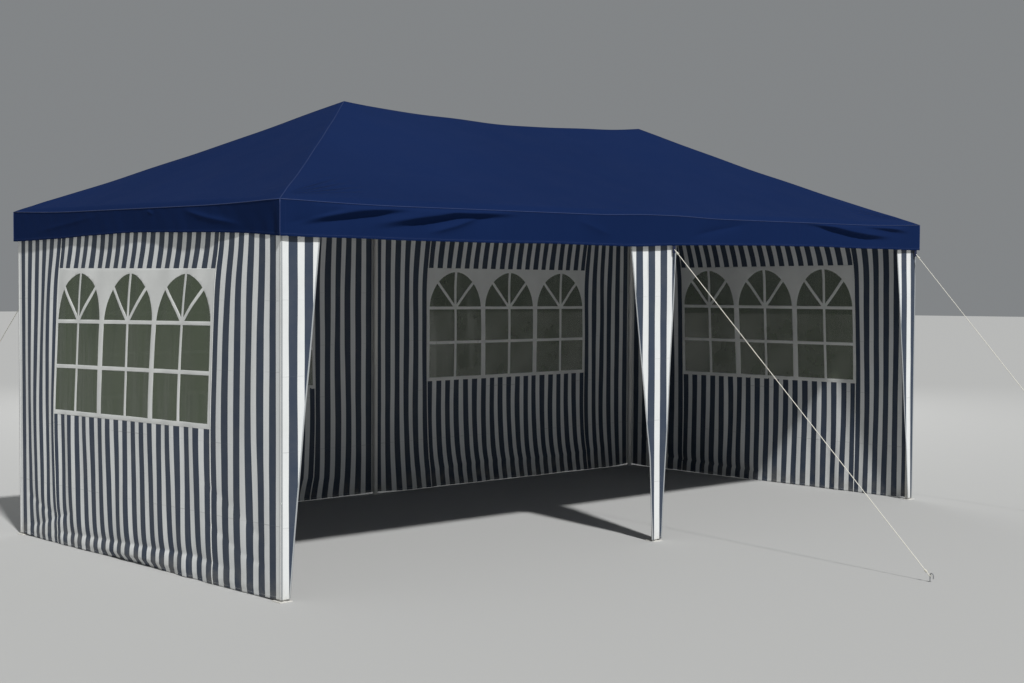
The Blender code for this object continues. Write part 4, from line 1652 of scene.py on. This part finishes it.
def build_legs():
    """Each leg: plate, weld, two lengths of tube that meet at a narrow neck, and a spring button."""
    meet = 1.03
    half_gap = 0.0006
    for place, (x, y) in LEGS.items():
        inward = Vector((-x, -y, 0)).normalized()
        parts = [
            foot_plate(),
            weld_bead(),
            turned_bar(UP * 0.002, UP * (meet - half_gap), LEG_RADIUS),
            turned_bar(UP * (meet - 0.02), UP * (meet + 0.02), LEG_RADIUS - 0.0012, rim=0.0004),
            turned_bar(UP * (meet + half_gap), UP * LEG_TOP, LEG_RADIUS),
            dome(inward * LEG_RADIUS + UP * (meet + 0.045), 0.0045),
        ]
        mesh = fuse("pole_" + place, parts)
        mesh.transform(Matrix.Translation((x, y, 0)))
        add_piece("pole_" + place, mesh, STEEL, ["leg_" + place])


def joint_at(place):
    x, y = LEGS[place]
    return Vector((x, y, RAIL_Z))


def crown_at(side):
    x, y = CROWNS[side]
    return Vector((x, y, CROWN_Z))


def rafter_runs():
    """Each rafter's name, its lower joint and its crown."""
    for place, (x, _) in LEGS.items():
        row, column = place.split("_")
        for side in [column] if x else list(CROWNS):
            name = f"rafter_{place}" if x else f"rafter_{row}_mid_{side}"
            yield name, place, side


SOCKET_BUTTON = 0.0042
BUTTON_INSET = 0.03


def sockets(centre, directions):
    """A knuckle with a socket and its button in each direction."""
    parts = [dome(centre, KNUCKLE_RADIUS)]
    for along in directions:
        parts.append(turned_bar(centre, centre + along * SOCKET_REACH, SOCKET_RADIUS))
        under = -UP - along * (-UP).dot(along)
        if under.length < 0.2:
            under = Vector((-centre.x, -centre.y, 0))
        spot = centre + along * (SOCKET_REACH - BUTTON_INSET) + under.normalized() * SOCKET_RADIUS
        parts.append(dome(spot, SOCKET_BUTTON))
    return parts


def build_joints():
    for place, (x, y) in LEGS.items():
        centre = joint_at(place)
        if x:
            rails = [Vector((-math.copysign(1, x), 0, 0)), Vector((0, -math.copysign(1, y), 0))]
        else:
            rails = [Vector((1, 0, 0)), Vector((-1, 0, 0))]
        crowns = [crown_at(side) for _, foot, side in rafter_runs() if foot == place]
        rafters = [(crown - centre).normalized() for crown in crowns]
        mesh = fuse("socket_" + place, sockets(centre, [-UP, *rails, *rafters]))
        add_piece("socket_" + place, mesh, STEEL, ["joint_" + place])


def build_peaks():
    for side in CROWNS:
        centre = crown_at(side)
        feet = [joint_at(foot) for _, foot, peak in rafter_runs() if peak == side]
        parts = sockets(centre, [(foot - centre).normalized() for foot in feet])
        tip = Vector((centre.x, centre.y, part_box("crown_" + side)[1].z - TIP_RADIUS))
        parts.append(turned_bar(centre, tip, POST_RADIUS))
        parts.append(dome(tip, TIP_RADIUS))
        add_piece("peak_" + side, fuse("peak_" + side, parts), STEEL, ["crown_" + side])


RAILS = {
    "rail_front_left": ("front_left", "front_mid"),
    "rail_front_right": ("front_mid", "front_right"),
    "rail_back_left": ("back_left", "back_mid"),
    "rail_back_right": ("back_mid", "back_right"),
    "rail_left": ("front_left", "back_left"),
    "rail_right": ("front_right", "back_right"),
}


def build_tubes():
    """The rails and rafters, each from just inside one socket's mouth to the other's."""
    cut = SOCKET_REACH - 0.004
    spans = [(name, joint_at(a), joint_at(b), RAIL_RADIUS) for name, (a, b) in RAILS.items()]
    spans += [(name, joint_at(foot), crown_at(side), RAFTER_RADIUS) for name, foot, side in rafter_runs()]
    for name, start, end, radius in spans:
        along = (end - start).normalized()
        bm = turned_bar(start + along * cut, end - along * cut, radius)
        add_piece("tube_" + name, edged(mesh_from(bm, "tube_" + name)), STEEL, [name])


# Guy ropes
KNOT_REACH = 0.035
KNOT_TURNS = 4
TURN_STEPS = 14
LOOP_STEPS = 24
KNOT_PITCH = 1.9 * ROPE_RADIUS
KNOT_COIL = 1.95 * ROPE_RADIUS
KNOT_CORD = 0.95 * ROPE_RADIUS


def rope_mesh(start, end):
    """A straight rope with a UV map in metres round and along it."""
    bm = upright_bar(ROPE_RADIUS, (end - start).length, 16)
    layer = bm.loops.layers.uv.new("cloth")
    for face in bm.faces:
        centre = face.calc_center_median()
        facing = math.atan2(centre.y, centre.x)
        for loop in face.loops:
            turn = math.atan2(loop.vert.co.y, loop.vert.co.x)
            if turn - facing > math.pi:
                turn -= 2 * math.pi
            elif turn - facing < -math.pi:
                turn += 2 * math.pi
            loop[layer].uv = (turn * BRAID_PITCH * BRAIDS_ROUND / (2 * math.pi), loop.vert.co.z)
    return lay_along(bm, start, end)


def circle_spot(centre, side, other, turn, radius):
    return centre + (side * math.cos(turn) + other * math.sin(turn)) * radius


def knot_mesh(centre, along):
    """Tight turns of the rope round itself."""
    side = along.cross(UP).normalized()
    other = along.cross(side)
    steps = KNOT_TURNS * TURN_STEPS
    points = []
    for step in range(steps + 1):
        rise = along * ((step / steps - 0.5) * KNOT_TURNS * KNOT_PITCH)
        turn = 2 * math.pi * step / TURN_STEPS
        points.append(circle_spot(centre + rise, side, other, turn, KNOT_COIL))
    return line_tube(points, KNOT_CORD)


def loop_mesh(centre, normal, radius):
    """A closed turn of rope round a peg."""
    side = normal.orthogonal().normalized()
    other = normal.cross(side)
    turns = [2 * math.pi * step / LOOP_STEPS for step in range(LOOP_STEPS)]
    points = [circle_spot(centre, side, other, turn, radius) for turn in turns]
    return line_tube(points, KNOT_CORD, closed=True)


def build_guys():
    """Each rope as one straight run, with its two knots and its loop round the peg."""
    for place in GUYS:
        low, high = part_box("rope_" + place)
        x = (low.x + high.x) / 2
        outward = -1 if place.startswith("front") else 1
        near, far = (high.y, low.y) if outward < 0 else (low.y, high.y)
        start = Vector((x, near, high.z - ROPE_RADIUS))
        end = Vector((x, far, low.z + ROPE_RADIUS))
        along = (end - start).normalized()
        rope = edged(mesh_from(rope_mesh(start, end), "guy_" + place))
        add_piece("guy_" + place, rope, ROPE, ["rope_" + place])
        peg_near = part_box("peg_" + place)[1 if outward < 0 else 0].y
        peg = Vector((x, peg_near + outward * PEG_RADIUS, end.z))
        knots = [
            knot_mesh(start + along * KNOT_REACH, along),
            knot_mesh(end - along * KNOT_REACH, along),
            loop_mesh(peg, UP, PEG_RADIUS + ROPE_RADIUS),
        ]
        add_piece("knots_" + place, joined("knots_" + place, knots), ROPE)


def finish_pegs():
    for place in GUYS:
        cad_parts["peg_" + place].material_slots[0].material = GALVANISED


set_camera()
set_lights()
add_floor()
build_canopy()
build_valances()
build_walls()
build_strips()
build_legs()
build_joints()
build_peaks()
build_tubes()
build_guys()
finish_pegs()
